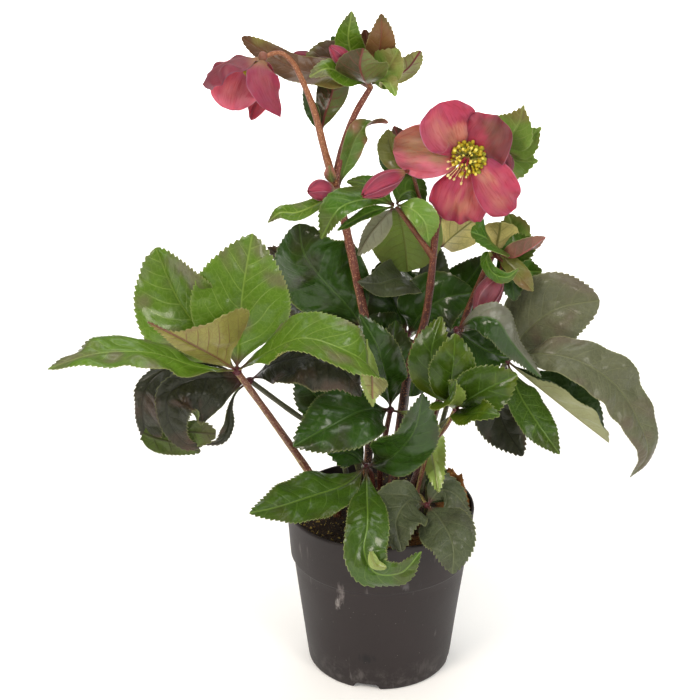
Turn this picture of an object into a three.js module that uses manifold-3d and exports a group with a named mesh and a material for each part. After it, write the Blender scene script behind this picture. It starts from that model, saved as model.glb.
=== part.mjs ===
// Hellebore in its nursery pot: a filled plastic pot with stalked leaves of toothed leaflets,
// three flowering stems with bracts and buds, one open flower and one nodding flower.
// Millimetres, +Z up, origin at the centre of the pot base, the open side of the plant towards -Y.
import * as THREE from 'three';
import { mergeVertices } from 'three/addons/utils/BufferGeometryUtils.js';
import Module from 'manifold-3d';

const wasm = await Module();
wasm.setup();

// Pot
const rimRadius = 65;
const collarRadius = 62.4;
const collarStep = 2;
const baseRadius = 50.5;
const potHeight = 119.5;
const collarHeight = 37;
const wall = 1.8;
const footHeight = 3;
const floorThickness = 2.4;
const centreFootRadius = 26;
const footRingWidth = 5;
const potSides = 24;
const footNotches = 4;
const footNotchWidth = 16;
const footNotchTurn = -10;

// Soil and the blind holes the stems stand in
const soilTop = 112;
const soilBump = 1.6;
const rootDepth = 12;
const clearance = 0.36;

// Leaves, bracts and tepals
const bladeThickness = 0.8;
const tepalThickness = 0.9;
const bladeBaseHalfWidth = 0.9;
const bladeTipHalfWidth = 0.35;
const leafletStep = 12;
const leafletStations = [5, 10];
const bractStep = 9;
const bractStations = [4, 5];
const tepalStations = 5;
const tepalShares = [-1, -0.5, 0, 0.5, 1];
const leafletForm = { fullness: 0.86, wedge: 0.3, tooth: 1.3 };
const bractForm = { fullness: 0.8, wedge: 0.25, tooth: 0.6 };
const tepalForm = { fullness: 0.56, wedge: 0.2, tooth: 0, base: 3.4 };
const stalkStop = 1.2;
const simplifyBy = 0.42;
const hubWall = 1.3;
const hubInset = 0.65;

// The heart of a flower
const seatShare = 0.8;
const collarOuter = 3.4;
const collarInner = 2;
const collarThickness = 1.2;
const carpelFoot = 1.6;
const filamentRadius = 0.6;
const antherLength = 3;
const antherRadius = 1.3;
const budShares = [0, 0.14, 0.36, 0.62, 0.86, 1];

const colours = {
  pot: 0x2b2a2d, soil: 0x2a1f18, leafYoung: 0x4c8a28, leafGreen: 0x3d7a2a, leafDark: 0x244a22,
  leafOld: 0x4a5245, stalk: 0x8a5a44, flowerStem: 0x8c4636, bract: 0x557a36, tepal: 0xb0486a,
  stamen: 0xd8c84a, carpel: 0x8a1f3c,
};

// Shapes. A leaf has a stalk from the soil and leaflets; a spray has bracts on a stem; a flower has
// tepals. Each of these blades is told by its midrib, the way its upper side faces from base to tip,
// its width, and where it differs from the usual: how far each half is folded up (in degrees, left
// then right), folded at the tip, curled on towards the edge, how wavy and how deeply toothed it is,
// how far along it is widest (peak), how full its outline is, and how wide it starts (base).
const leaves = {
  // The bright leaf that reaches out to the front left.
  leaf_left_front: {
    tone: 'leafYoung',
    stalk: [[-30, -4, 112], [-40, -10, 133], [-51, -20, 157], [-73, -45, 206], [-91, -65, 245]],
    stalkRadius: [3.1, 2.3],
    blades: [
      {
        rib: [[-91, -65, 245], [-107, -59, 261], [-127, -49, 286], [-141, -37, 316]],
        face: [[0, -0.8, 0.6], [-0.2, -0.9, 0.4]], width: 64, fold: [2, 40], curl: [-14, 0],
        peak: 0.52, fullness: 0.75,
      },
      {
        rib: [[-91, -65, 245], [-89, -66, 269], [-86, -62, 297], [-80, -53, 330]],
        face: [[0, -0.85, 0.5], [0.1, -0.9, 0.4]], width: 57, fold: [10, 8], curl: [0, -16],
        peak: 0.48,
      },
      {
        rib: [[-91, -65, 245], [-114, -80, 254], [-140, -90, 267], [-171, -102, 271],
        [-198, -108, 264]],
        face: [[0, -0.25, 1], [0, -0.3, 0.95]], width: 49, fold: [14, 0], curl: [0, -30],
      },
      {
        rib: [[-91, -65, 245], [-103, -92, 268], [-120, -112, 288], [-136, -116, 297]],
        face: [[0.1, 0.8, -0.3], [0.1, 0.9, 0.2]], width: 46, fold: [16, 16], wave: 0.6, peak: 0.34,
      },
      {
        rib: [[-91, -65, 245], [-70, -80, 264], [-48, -94, 278], [-25, -100, 273], [-10, -94, 260],
        [-7, -80, 233]],
        face: [[0, -0.5, 0.85], [0, -0.5, 0.85], [0.1, -0.6, 0.8], [0.7, 0.5, 0.4]], width: 40,
        fold: [10, 10], peak: 0.47, fullness: 0.72,
      },
    ],
  },
  // The wrinkled older leaf hanging under it, its leaflets curling in at the ends.
  leaf_left_old: {
    tone: 'leafOld',
    stalk: [[-10, 8, 112], [-21, -4, 162], [-55, -22, 195], [-85, -40, 228]],
    stalkRadius: [2.4, 1.9],
    blades: [
      {
        rib: [[-85, -40, 228], [-104, -56, 234], [-120, -64, 227], [-125, -66, 209], [-119, -56, 193],
        [-112, -48, 193]],
        face: [[0, -0.7, 0.7], [-0.2, -0.95, 0.2], [-0.2, -0.9, -0.3], [0.1, -0.2, -1]], width: 42,
        fold: [6, 6], curl: [0, -20],
      },
      {
        rib: [[-85, -40, 228], [-114, -34, 237], [-141, -38, 230], [-148, -42, 209], [-144, -42, 187],
        [-120, -38, 176]],
        face: [[0, -0.4, 0.9], [-0.4, -0.6, 0.6], [-0.5, -0.85, 0.1], [-0.1, -0.95, -0.4]], width: 30,
        fold: [8, 8],
      },
      {
        rib: [[-85, -40, 228], [-96, -38, 215], [-101, -36, 197], [-108, -34, 183], [-117, -28, 177]],
        face: [[0.6, -0.7, 0.3], [0.7, -0.7, 0.1], [0.2, -0.9, -0.4]], width: 18, fold: [10, 10],
      },
      {
        rib: [[-85, -40, 228], [-66, -58, 248], [-42, -70, 256], [-24, -74, 248], [-14, -70, 230]],
        face: [[0, -0.45, 0.9], [0.1, -0.5, 0.85], [0.5, -0.7, 0.4]], width: 40, fold: [4, -14],
        curl: [-10, -20],
      },
    ],
  },
  // The dark leaf in the middle, its broad leaflet drooping to the left.
  leaf_mid_left: {
    tone: 'leafDark',
    stalk: [[0, 10, 112], [0, 4, 152], [3, -5, 174], [6, -12, 195]],
    stalkRadius: [2.2, 1.9],
    blades: [
      {
        rib: [[6, -12, 195], [-13, -36, 205], [-32, -53, 203], [-57, -64, 193]],
        face: [[0, -0.6, 0.8], [-0.1, -0.75, 0.65]], width: 47, fold: [10, 12], curl: [-10, -22],
        wave: 1.6,
      },
      {
        rib: [[6, -12, 195], [-20, -14, 200], [-42, -24, 209], [-54, -28, 232]],
        face: [[0, -0.8, 0.5], [-0.2, -0.9, 0.3]], width: 34, fold: [14, 20],
      },
      {
        rib: [[6, -12, 195], [3, -24, 222], [-4, -32, 249], [-15, -32, 270]],
        face: [[0.3, -0.9, 0.3]], width: 28, fold: [14, 14],
      },
      {
        rib: [[6, -12, 195], [5, 10, 206], [8, 20, 224], [10, 24, 245]],
        face: [[0.2, -0.9, 0.4]], width: 20, fold: [8, 8],
      },
      {
        rib: [[6, -12, 195], [21, -16, 191], [32, -30, 175], [37, -48, 152]],
        face: [[0.2, 0.95, 0.2]], width: 21, fold: [14, 14],
      },
    ],
  },
  // The low leaf at the front; one leaflet hangs over the rim and curls up again.
  leaf_front_low: {
    tone: 'leafGreen',
    stalk: [[-4, 2, 112], [-6, -6, 143], [-10, -24, 159]],
    stalkRadius: [1.8, 1.6],
    blades: [
      {
        rib: [[-10, -24, 159], [-24, -44, 156], [-47, -62, 156], [-67, -76, 156], [-84, -86, 157]],
        face: [[-0.1, -0.6, 0.8]], width: 37, fold: [10, 10], curl: [-10, -16], wave: 1.4,
      },
      {
        rib: [[-10, -24, 159], [-10, -50, 153], [-10, -78, 144], [-12, -88, 130], [-5, -92, 118],
        [11, -92, 118], [24, -92, 133]],
        face: [[0, -0.5, 0.85], [0, -0.95, 0.3], [0.1, -0.95, 0.2], [0.3, -0.9, -0.2],
        [-0.2, -0.85, 0.5]], width: 28, fold: [8, 8],
      },
      {
        rib: [[-10, -24, 159], [6, -46, 177], [20, -61, 204], [24, -65, 230]],
        face: [[0.2, -0.8, 0.5], [0.4, -0.85, 0.3]], width: 38, fold: [12, 12], curl: [0, -10],
        wave: 1.6,
      },
      {
        rib: [[-10, -24, 159], [-21, -22, 168], [-36, -24, 170]],
        face: [[0, -0.6, 0.8]], width: 26, fold: [10, 10],
      },
    ],
  },
  // The small grey-green leaf that lies on the rim at the front right.
  leaf_front_right_low: {
    tone: 'leafOld',
    stalk: [[24, -12, 112], [26, -24, 137], [30, -36, 136]],
    stalkRadius: [1.8, 1.5],
    blades: [
      {
        rib: [[30, -36, 136], [18, -48, 146], [9, -64, 140], [12, -78, 125]],
        face: [[0, -0.7, 0.7], [-0.2, -0.9, 0.4]], width: 38, fold: [8, 8], curl: [-12, -12],
      },
      {
        rib: [[30, -36, 136], [38, -56, 136], [45, -74, 127], [45, -80, 110]],
        face: [[0.1, -0.8, 0.6], [0.2, -0.95, 0.2]], width: 36, fold: [8, 8], curl: [-12, -12],
      },
      {
        rib: [[30, -36, 136], [40, -34, 144], [49, -36, 143], [60, -44, 132]],
        face: [[0.1, -0.75, 0.6], [0.4, -0.8, 0.4]], width: 33, fold: [0, -10], curl: [0, -20],
      },
      {
        rib: [[30, -36, 136], [38, -24, 141], [42, -14, 153]],
        face: [[0, -0.8, 0.6]], width: 20, fold: [10, 10],
      },
    ],
  },
  // The large leaf at the right, with two long leaflets bent over at the ends.
  leaf_right_large: {
    tone: 'leafOld',
    stalk: [[32, -2, 112], [37, -18, 182], [56, -12, 196], [74, -2, 208], [84, 6, 223]],
    stalkRadius: [2.2, 1.8],
    blades: [
      {
        rib: [[84, 6, 223], [92, 0, 242], [113, -6, 264], [141, -8, 271]],
        face: [[-0.2, -0.8, 0.5], [0, -0.85, 0.5]], width: 53, fold: [8, 8], curl: [-14, -18],
        wave: 1.6, tooth: 0.8, fullness: 0.62,
      },
      {
        rib: [[84, 6, 223], [99, -24, 241], [126, -34, 238], [152, -34, 218], [171, -36, 186],
        [170, -34, 155]],
        face: [[0, -0.5, 0.85], [0.2, -0.7, 0.7], [0.6, -0.7, 0.3], [0.5, -0.8, 0]], width: 34,
        fold: [8, 8], curl: [0, -16], tooth: 0.6,
      },
      {
        rib: [[84, 6, 223], [103, -4, 210], [129, -10, 190], [153, -12, 171]],
        face: [[0.2, -0.15, 1]], width: 44, fold: [48, 54], peak: 0.58,
      },
      {
        rib: [[84, 6, 223], [92, -6, 204], [103, -20, 189], [118, -26, 169]],
        face: [[0.3, -0.8, 0.5]], width: 30, fold: [8, 8], curl: [-12, -12], tooth: 1,
      },
      {
        rib: [[84, 6, 223], [82, 18, 199], [84, 18, 174], [98, 6, 152]],
        face: [[0.1, -0.9, 0.3]], width: 40, fold: [6, 6],
      },
    ],
  },
  // The leaf right of the middle, one leaflet folded over on itself.
  leaf_centre_right: {
    tone: 'leafDark',
    stalk: [[14, -8, 112], [29, -8, 162], [38, -16, 204], [44, -22, 235], [47, -30, 259]],
    stalkRadius: [2, 1.6],
    blades: [
      {
        rib: [[47, -30, 259], [60, -42, 269], [76, -48, 263], [90, -46, 245], [104, -40, 227]],
        face: [[0, -0.6, 0.8], [0.1, -0.8, 0.6], [0.3, -0.8, 0.5]], width: 34, fold: [-4, 10],
        tipFold: [95, 12], peak: 0.42,
      },
      {
        rib: [[47, -30, 259], [59, -24, 247], [71, -20, 239], [83, -20, 236]],
        face: [[0, -0.8, 0.6]], width: 28, fold: [8, 8],
      },
    ],
  },
  // The small young leaf at the front.
  leaf_front_young: {
    tone: 'leafYoung',
    stalk: [[20, -22, 112], [31, -40, 180], [41, -48, 200], [46, -52, 214]],
    stalkRadius: [1.8, 1.5],
    blades: [
      {
        rib: [[46, -52, 214], [35, -52, 228], [30, -52, 252], [36, -44, 273]],
        face: [[-0.4, -0.85, 0.3]], width: 29, fold: [12, 12],
      },
      {
        rib: [[46, -52, 214], [42, -60, 233], [43, -62, 251], [44, -58, 267]],
        face: [[0, -0.85, 0.5]], width: 30, fold: [14, 14], peak: 0.55,
      },
      {
        rib: [[46, -52, 214], [55, -68, 229], [67, -76, 240], [81, -78, 248]],
        face: [[0.1, -0.85, 0.5]], width: 32, fold: [14, 6], peak: 0.55,
      },
      {
        rib: [[46, -52, 214], [40, -72, 226], [40, -84, 238], [43, -90, 249]],
        face: [[-0.2, -0.6, 0.8]], width: 24, fold: [14, 14],
      },
      {
        rib: [[46, -52, 214], [52, -74, 220], [60, -90, 228], [69, -96, 229]],
        face: [[0, -0.7, 0.7]], width: 22, fold: [10, 6],
      },
    ],
  },
  // The tall leaf behind at the left.
  leaf_upper_left: {
    tone: 'leafDark',
    stalk: [[-18, 18, 112], [-6, 20, 158], [-7, 24, 198], [-10, 20, 238]],
    stalkRadius: [2.2, 1.9],
    blades: [
      {
        rib: [[-10, 20, 238], [-24, 13, 261], [-39, 8, 280], [-51, 3, 300], [-54, 8, 318]],
        face: [[-0.2, -0.85, 0.5]], width: 61, fold: [-24, 6], curl: [-10, -14], wave: 1.8, tooth: 0.7,
        peak: 0.56, fullness: 0.62,
      },
      {
        rib: [[-10, 20, 238], [-38, 40, 257], [-61, 46, 278], [-77, 46, 290]],
        face: [[-0.2, -0.75, 0.6]], width: 32, fold: [8, 8], tooth: 0.8,
      },
      {
        rib: [[-10, 20, 238], [-32, 22, 245], [-52, 24, 256], [-68, 26, 262]],
        face: [[-0.1, -0.6, 0.8]], width: 40, fold: [6, 6],
      },
    ],
  },
  // The tall leaf behind the middle.
  leaf_back_centre: {
    tone: 'leafDark',
    stalk: [[8, 30, 112], [17, 36, 166], [20, 42, 201], [19, 44, 227]],
    stalkRadius: [2.2, 1.9],
    blades: [
      {
        rib: [[19, 44, 227], [29, 30, 249], [42, 24, 261], [63, 22, 266]],
        face: [[0, -0.9, 0.35]], width: 44, fold: [6, 6], curl: [-14, 0], tooth: 0.6,
      },
      {
        rib: [[19, 44, 227], [28, 56, 254], [14, 32, 272], [-3, 10, 276], [-16, -6, 283]],
        face: [[0.3, -0.9, 0.2], [0, -0.5, 0.85], [-0.1, -0.85, 0.5], [-0.1, -0.9, 0.3]], width: 30,
        fold: [10, 10], tooth: 0.3,
      },
      {
        rib: [[19, 44, 227], [12, 46, 243], [5, 48, 260], [-1, 46, 279]],
        face: [[0, -0.7, 0.7]], width: 34, fold: [6, 6],
      },
      {
        rib: [[19, 44, 227], [47, 46, 249], [62, 44, 269], [72, 42, 286]],
        face: [[0, -0.8, 0.55]], width: 36, fold: [8, 8], tooth: 0.6,
      },
      {
        rib: [[19, 44, 227], [31, 50, 256], [36, 48, 274], [40, 46, 290]],
        face: [[0.3, -0.8, 0.5]], width: 30, fold: [30, 8], tooth: 0.6,
      },
    ],
  },
  // A leaf at the back left.
  leaf_back_left: {
    tone: 'leafOld',
    stalk: [[-22, 28, 112], [-30, 44, 160], [-35, 62, 205]],
    stalkRadius: [2.2, 1.9],
    blades: [
      {
        rib: [[-35, 62, 205], [-50, 66, 228], [-64, 72, 240], [-78, 80, 236]],
        face: [[0, -0.2, 1], [-0.4, -0.1, 0.9]], width: 36, fold: [12, 12],
      },
      {
        rib: [[-35, 62, 205], [-44, 82, 226], [-54, 104, 234], [-62, 124, 226]],
        face: [[0, -0.3, 1], [-0.2, 0.4, 0.9]], width: 34, fold: [12, 12],
      },
      {
        rib: [[-35, 62, 205], [-30, 86, 212], [-24, 112, 210], [-20, 138, 194]],
        face: [[0, -0.3, 1], [0, 0.4, 0.9]], width: 34, fold: [12, 12],
      },
    ],
  },
  // A leaf at the back right.
  leaf_back_right: {
    tone: 'leafDark',
    stalk: [[30, 28, 112], [45, 50, 158], [56, 70, 192]],
    stalkRadius: [2.2, 1.9],
    blades: [
      {
        rib: [[56, 70, 192], [72, 74, 212], [88, 82, 220], [104, 94, 210]],
        face: [[0, -0.2, 1], [0.4, 0.1, 0.9]], width: 36, fold: [12, 12],
      },
      {
        rib: [[56, 70, 192], [68, 88, 210], [82, 106, 212], [96, 122, 198]],
        face: [[0, -0.2, 1], [0.3, 0.4, 0.8]], width: 32, fold: [12, 12],
      },
      {
        rib: [[56, 70, 192], [57, 92, 196], [58, 116, 194], [60, 142, 178]],
        face: [[0, -0.2, 1], [0, 0.4, 0.9]], width: 34, fold: [12, 12],
      },
      {
        rib: [[56, 70, 192], [44, 84, 208], [34, 100, 210], [24, 118, 196]],
        face: [[0, -0.2, 1], [-0.3, 0.3, 0.9]], width: 34, fold: [12, 12],
      },
    ],
  },
};

const stems = {
  flower_stem_front: {
    path: [[6, -2, 112], [19, -2, 225], [28, -3, 255], [32, -3, 290], [34, 0, 315], [38, 6, 332],
    [47, 10, 349], [53, 6, 360]],
    radius: [3.8, 2.2],
    branches: [
      {
        path: [[33, -2, 298], [20, -6, 317], [9, -8, 333]], radius: [2.2, 1.5],
      },
      {
        path: [[34, 0, 315], [27, 4, 326], [22, 2, 341], [18, 0, 354], [14, -6, 356], [11, -12, 356]],
        radius: [1.5, 1.2],
      },
      {
        path: [[40, 8, 335], [54, 20, 344], [67, 22, 356], [75, 16, 363]], radius: [1.6, 1.2],
      },
      {
        path: [[75, 18, 363], [75, 14, 364], [77, 9, 364]], radius: [1.2, 1],
      },
    ],
  },
  flower_stem_left: {
    path: [[-10, 14, 112], [-7, 10, 192], [-10, 7, 245], [-16, 6, 277], [-22, 4, 308], [-27, 2, 332],
    [-31, 2, 347]],
    radius: [3.5, 3],
    branches: [
      {
        path: [[-31, 2, 346], [-37, -2, 369], [-43, -5, 394], [-50, -7, 413], [-56, -9, 425],
        [-63, -11, 431], [-70, -12, 430], [-74, -12, 427]], radius: [2.9, 1.6],
      },
      {
        path: [[-31, 2, 346], [-25, 8, 370], [-18, 12, 388], [-8, 14, 405]], radius: [2.8, 2.1],
      },
      {
        path: [[-8, 14, 405], [-13, 8, 414], [-20, 3, 420]], radius: [1.5, 1.2],
      },
      {
        path: [[-8, 14, 405], [-21, 32, 408], [-39, 40, 416]], radius: [1.5, 1.2],
      },
      {
        path: [[-30, 2, 342], [-30, -3, 344], [-32, -7, 345]], radius: [1.3, 1.1],
      },
    ],
  },
  flower_stem_right: {
    path: [[20, 8, 112], [40, 8, 195], [57, 6, 259], [66, 3, 285], [72, 2, 300]],
    radius: [3, 2.2],
    branches: [
      {
        path: [[72, 2, 299], [77, -5, 296], [75, -10, 291]], radius: [1.3, 1.1],
      },
    ],
  },
};

const bracts = {
  // Where the front stem forks, below the open flower.
  bracts_front_stem: {
    stem: 'flower_stem_front', hub: [8, -8, 334], hubRadius: 2.6,
    blades: [
      {
        rib: [[8, -8, 334], [-8, -16, 341], [-27, -22, 337], [-39, -22, 317]],
        face: [[0, -0.6, 0.8], [-0.2, -0.8, 0.5]], width: 22, fold: [10, 6], tooth: 0.9,
      },
      {
        rib: [[8, -8, 334], [-6, -12, 332], [-19, -14, 326], [-29, -14, 320]],
        face: [[0, -0.6, 0.8]], width: 11, fold: [10, 10], tooth: 0.5,
      },
      {
        rib: [[8, -8, 334], [5, -2, 322], [-3, 0, 311], [-10, 0, 296]],
        face: [[0.5, 0.7, 0.3], [0.6, 0.6, 0.2]], width: 24, fold: [8, 8], tooth: 0.6,
      },
      {
        rib: [[8, -8, 334], [12, -2, 340], [19, 4, 341], [27, 6, 332]],
        face: [[0, -0.7, 0.7], [0.2, -0.8, 0.5]], width: 22, fold: [8, 8], tooth: 0.5,
      },
      {
        rib: [[8, -8, 334], [15, -16, 333], [23, -20, 327], [29, -18, 314]],
        face: [[0.4, 0.8, 0.3], [0.5, 0.8, 0.1]], width: 26, fold: [8, 8], tooth: 0.5,
      },
      {
        rib: [[8, -8, 334], [-1, -4, 341], [-12, -2, 347], [-23, 0, 348]],
        face: [[0, -0.7, 0.7]], width: 14, fold: [10, 10], tooth: 0.5,
      },
      {
        rib: [[8, -8, 334], [10, 18, 313], [13, 30, 296], [14, 38, 281]],
        face: [[0, 0.9, 0.4], [-0.1, 0.95, 0.2]], width: 44, fold: [10, 10], tooth: 0.5, peak: 0.6,
      },
    ],
  },
  // A pale bract higher on the front stem.
  bract_front_stem_pale: {
    stem: 'flower_stem_front', hub: [36, 2, 302], hubRadius: 5.2,
    blades: [
      {
        rib: [[36, 2, 302], [45, 10, 308], [53, 12, 314], [62, 12, 322]],
        face: [[-0.1, 0.9, 0.4]], width: 26, fold: [8, 8], tooth: 0.4,
      },
    ],
  },
  // Small bracts left of the open flower.
  bracts_flower_left: {
    stem: 'flower_stem_front', hub: [14, -1, 354], hubRadius: 2.2,
    blades: [
      {
        rib: [[14, -1, 354], [11, 7, 360], [8, 9, 369], [5, 7, 378]],
        face: [[-0.6, -0.7, 0.4], [-0.3, -0.9, 0.2]], width: 14, fold: [20, 20], tooth: 0.3,
      },
      {
        rib: [[14, -1, 354], [16, 14, 361], [14, 18, 370], [10, 16, 379]],
        face: [[0, 0.9, 0.3]], width: 12, fold: [16, 16], tooth: 0.3,
      },
      {
        rib: [[14, -1, 354], [9, 16, 356], [4, 22, 361], [2, 22, 368]],
        face: [[0, -0.9, 0.4]], width: 12, fold: [16, 16], tooth: 0.3,
      },
    ],
  },
  // Bracts right of the open flower.
  bracts_flower_right: {
    stem: 'flower_stem_front', hub: [75, 16, 363], hubRadius: 2.7,
    blades: [
      {
        rib: [[75, 16, 363], [81, 14, 373], [86, 12, 383], [88, 8, 395]],
        face: [[-0.3, -0.9, 0.3]], width: 19, fold: [10, 16], tooth: 0.8,
      },
      {
        rib: [[75, 16, 363], [84, 18, 367], [93, 16, 372], [100, 12, 380]],
        face: [[0, -0.9, 0.4]], width: 14, fold: [12, 12], tooth: 0.8,
      },
      {
        rib: [[75, 16, 363], [83, 18, 358], [91, 16, 357], [99, 12, 358]],
        face: [[0, -0.8, 0.5]], width: 15, fold: [12, 12], tooth: 0.8,
      },
    ],
  },
  // The ruff of bracts at the top of the right stem.
  bracts_right_cluster: {
    stem: 'flower_stem_right', hub: [73, 2, 301], hubRadius: 3,
    blades: [
      {
        rib: [[73, 2, 301], [70, -8, 309], [64, -16, 316], [55, -18, 320]],
        face: [[0.2, -0.5, 0.8], [-0.1, -0.6, 0.8]], width: 26, fold: [14, 6], tooth: 0.8,
      },
      {
        rib: [[73, 2, 301], [66, -12, 301], [70, -24, 295], [78, -28, 294], [85, -27, 299]],
        face: [[-0.5, -0.8, 0.3], [-0.2, -0.9, -0.3], [0.1, -0.9, -0.3]], width: 11, fold: [12, 12],
        tooth: 0.4,
      },
      {
        rib: [[73, 2, 301], [83, -8, 300], [92, -12, 306], [103, -12, 315]],
        face: [[0, 0.6, 0.8], [-0.1, 0.8, 0.5]], width: 22, fold: [26, 22], tooth: 0.5,
      },
      {
        rib: [[73, 2, 301], [75, 8, 306], [76, 8, 312], [76, 4, 320]],
        face: [[0.1, 0.95, 0.2]], width: 22, fold: [10, 14], tooth: 0.4,
      },
      {
        rib: [[73, 2, 301], [82, 14, 305], [85, 14, 313], [82, 12, 323]],
        face: [[-0.2, -0.9, 0.3]], width: 24, fold: [12, 12], tooth: 0.9,
      },
      {
        rib: [[73, 2, 301], [84, 4, 301], [92, 2, 304], [99, -2, 309]],
        face: [[0, -0.8, 0.5]], width: 20, fold: [12, 12], tooth: 1.2,
      },
      {
        rib: [[73, 2, 301], [86, 12, 289], [96, 13, 284], [105, 9, 285]],
        face: [[0.1, -0.85, 0.5]], width: 22, fold: [12, 12], tooth: 0.8,
      },
      {
        rib: [[73, 2, 301], [83, -8, 294], [90, -13, 287], [97, -13, 279]],
        face: [[0.3, -0.8, 0.5]], width: 14, fold: [24, 10], tooth: 0.4,
      },
      {
        rib: [[73, 2, 301], [80, -3, 290], [84, -5, 280], [86, -6, 270]],
        face: [[0.2, -0.9, 0.3]], width: 18, fold: [10, 10], tooth: 0.8,
      },
    ],
  },
  // At the fork of the left stem.
  bracts_stem_left: {
    stem: 'flower_stem_left', hub: [-29, 2, 342], hubRadius: 4.4,
    blades: [
      {
        rib: [[-29, 2, 342], [-22, 6, 360], [-18, 4, 377], [-9, 2, 386], [1, 0, 387]],
        face: [[0.3, -0.9, 0.3], [0.3, -0.9, 0.3], [0.1, 0.6, 0.8]], width: 15, fold: [16, 16],
        tooth: 0.2,
      },
      {
        rib: [[-29, 2, 342], [-41, -8, 336], [-55, -12, 331], [-65, -12, 331], [-73, -10, 324]],
        face: [[0, -0.6, 0.8], [-0.1, -0.7, 0.7], [-0.4, -0.8, 0.4]], width: 12, fold: [10, 10],
        tooth: 0.3,
      },
    ],
  },
  // A cupped bract halfway up the left branch.
  bract_left_fork: {
    stem: 'flower_stem_left', hub: [-39, -3, 379], hubRadius: 3.6,
    blades: [
      {
        rib: [[-39, -3, 379], [-38, 12, 388], [-35, 17, 397], [-31, 18, 405]],
        face: [[0.1, 0.9, 0.3]], width: 12, fold: [16, 16], tooth: 0.3,
      },
      {
        rib: [[-39, -3, 379], [-43, 10, 388], [-47, 10, 397], [-50, 8, 405]],
        face: [[-0.3, -0.9, 0.3]], width: 9, fold: [14, 14], tooth: 0.6,
      },
    ],
  },
  // The ruff of green and brownish bracts at the very top.
  bracts_top: {
    stem: 'flower_stem_left', hub: [-8, 15, 407], hubRadius: 3.4,
    blades: [
      {
        rib: [[-8, 15, 407], [-17, 16, 419], [-22, 12, 435], [-20, 8, 453]],
        face: [[-0.1, -0.9, 0.4], [0.1, -0.95, 0.2]], width: 24, fold: [16, 16], tooth: 0.5,
      },
      {
        rib: [[-8, 15, 407], [0, 8, 415], [5, 4, 423], [9, 2, 431]],
        face: [[-0.2, -0.85, 0.5]], width: 19, fold: [14, 14], tooth: 0.6,
      },
      {
        rib: [[-8, 15, 407], [5, 18, 410], [15, 18, 416], [23, 14, 428]],
        face: [[0, 0.8, 0.6]], width: 15, fold: [14, 14], tooth: 0.6,
      },
      {
        rib: [[-8, 15, 407], [-18, 33, 416], [-27, 40, 426], [-33, 42, 432]],
        face: [[0.1, -0.9, 0.3]], width: 18, fold: [10, 10], tooth: 0.5,
      },
      {
        rib: [[-8, 15, 407], [-23, 8, 413], [-35, 2, 419], [-46, -3, 415]],
        face: [[0, -0.7, 0.7], [-0.1, -0.8, 0.5]], width: 15, fold: [8, 8], tooth: 0.7,
      },
      {
        rib: [[-8, 15, 407], [1, 2, 412], [4, -6, 411], [7, -8, 404]],
        face: [[-0.3, -0.8, 0.4], [0.3, -0.9, 0.3]], width: 12, fold: [10, 10], tooth: 0.4,
      },
      {
        rib: [[-8, 15, 407], [-4, 12, 421], [-2, 4, 437], [-2, -2, 453]],
        face: [[0.1, -0.9, 0.3]], width: 24, fold: [10, 10], tooth: 0.6,
      },
      {
        rib: [[-8, 15, 407], [-12, 0, 412], [-15, -11, 424], [-13, -12, 434]],
        face: [[0.1, 0.6, 0.8], [0, 0.9, 0.3]], width: 34, fold: [12, 18], tooth: 0.3, peak: 0.55,
      },
      {
        rib: [[-8, 15, 407], [-9, 26, 419], [-10, 24, 430], [-12, 20, 440]],
        face: [[0, 0.9, 0.3]], width: 16, fold: [10, 10], tooth: 0.5,
      },
      {
        rib: [[-8, 15, 407], [-33, 12, 413], [-55, 12, 417], [-74, 10, 428], [-88, 10, 437]],
        face: [[0, -0.6, 0.8], [0, -0.75, 0.65]], width: 21, fold: [6, 6], tooth: 0.5, peak: 0.42,
      },
      {
        rib: [[-8, 15, 407], [-23, 22, 415], [-35, 24, 422], [-50, 20, 421]],
        face: [[0, -0.7, 0.7]], width: 22, fold: [10, 10], tooth: 0.7,
      },
    ],
  },
};

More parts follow.
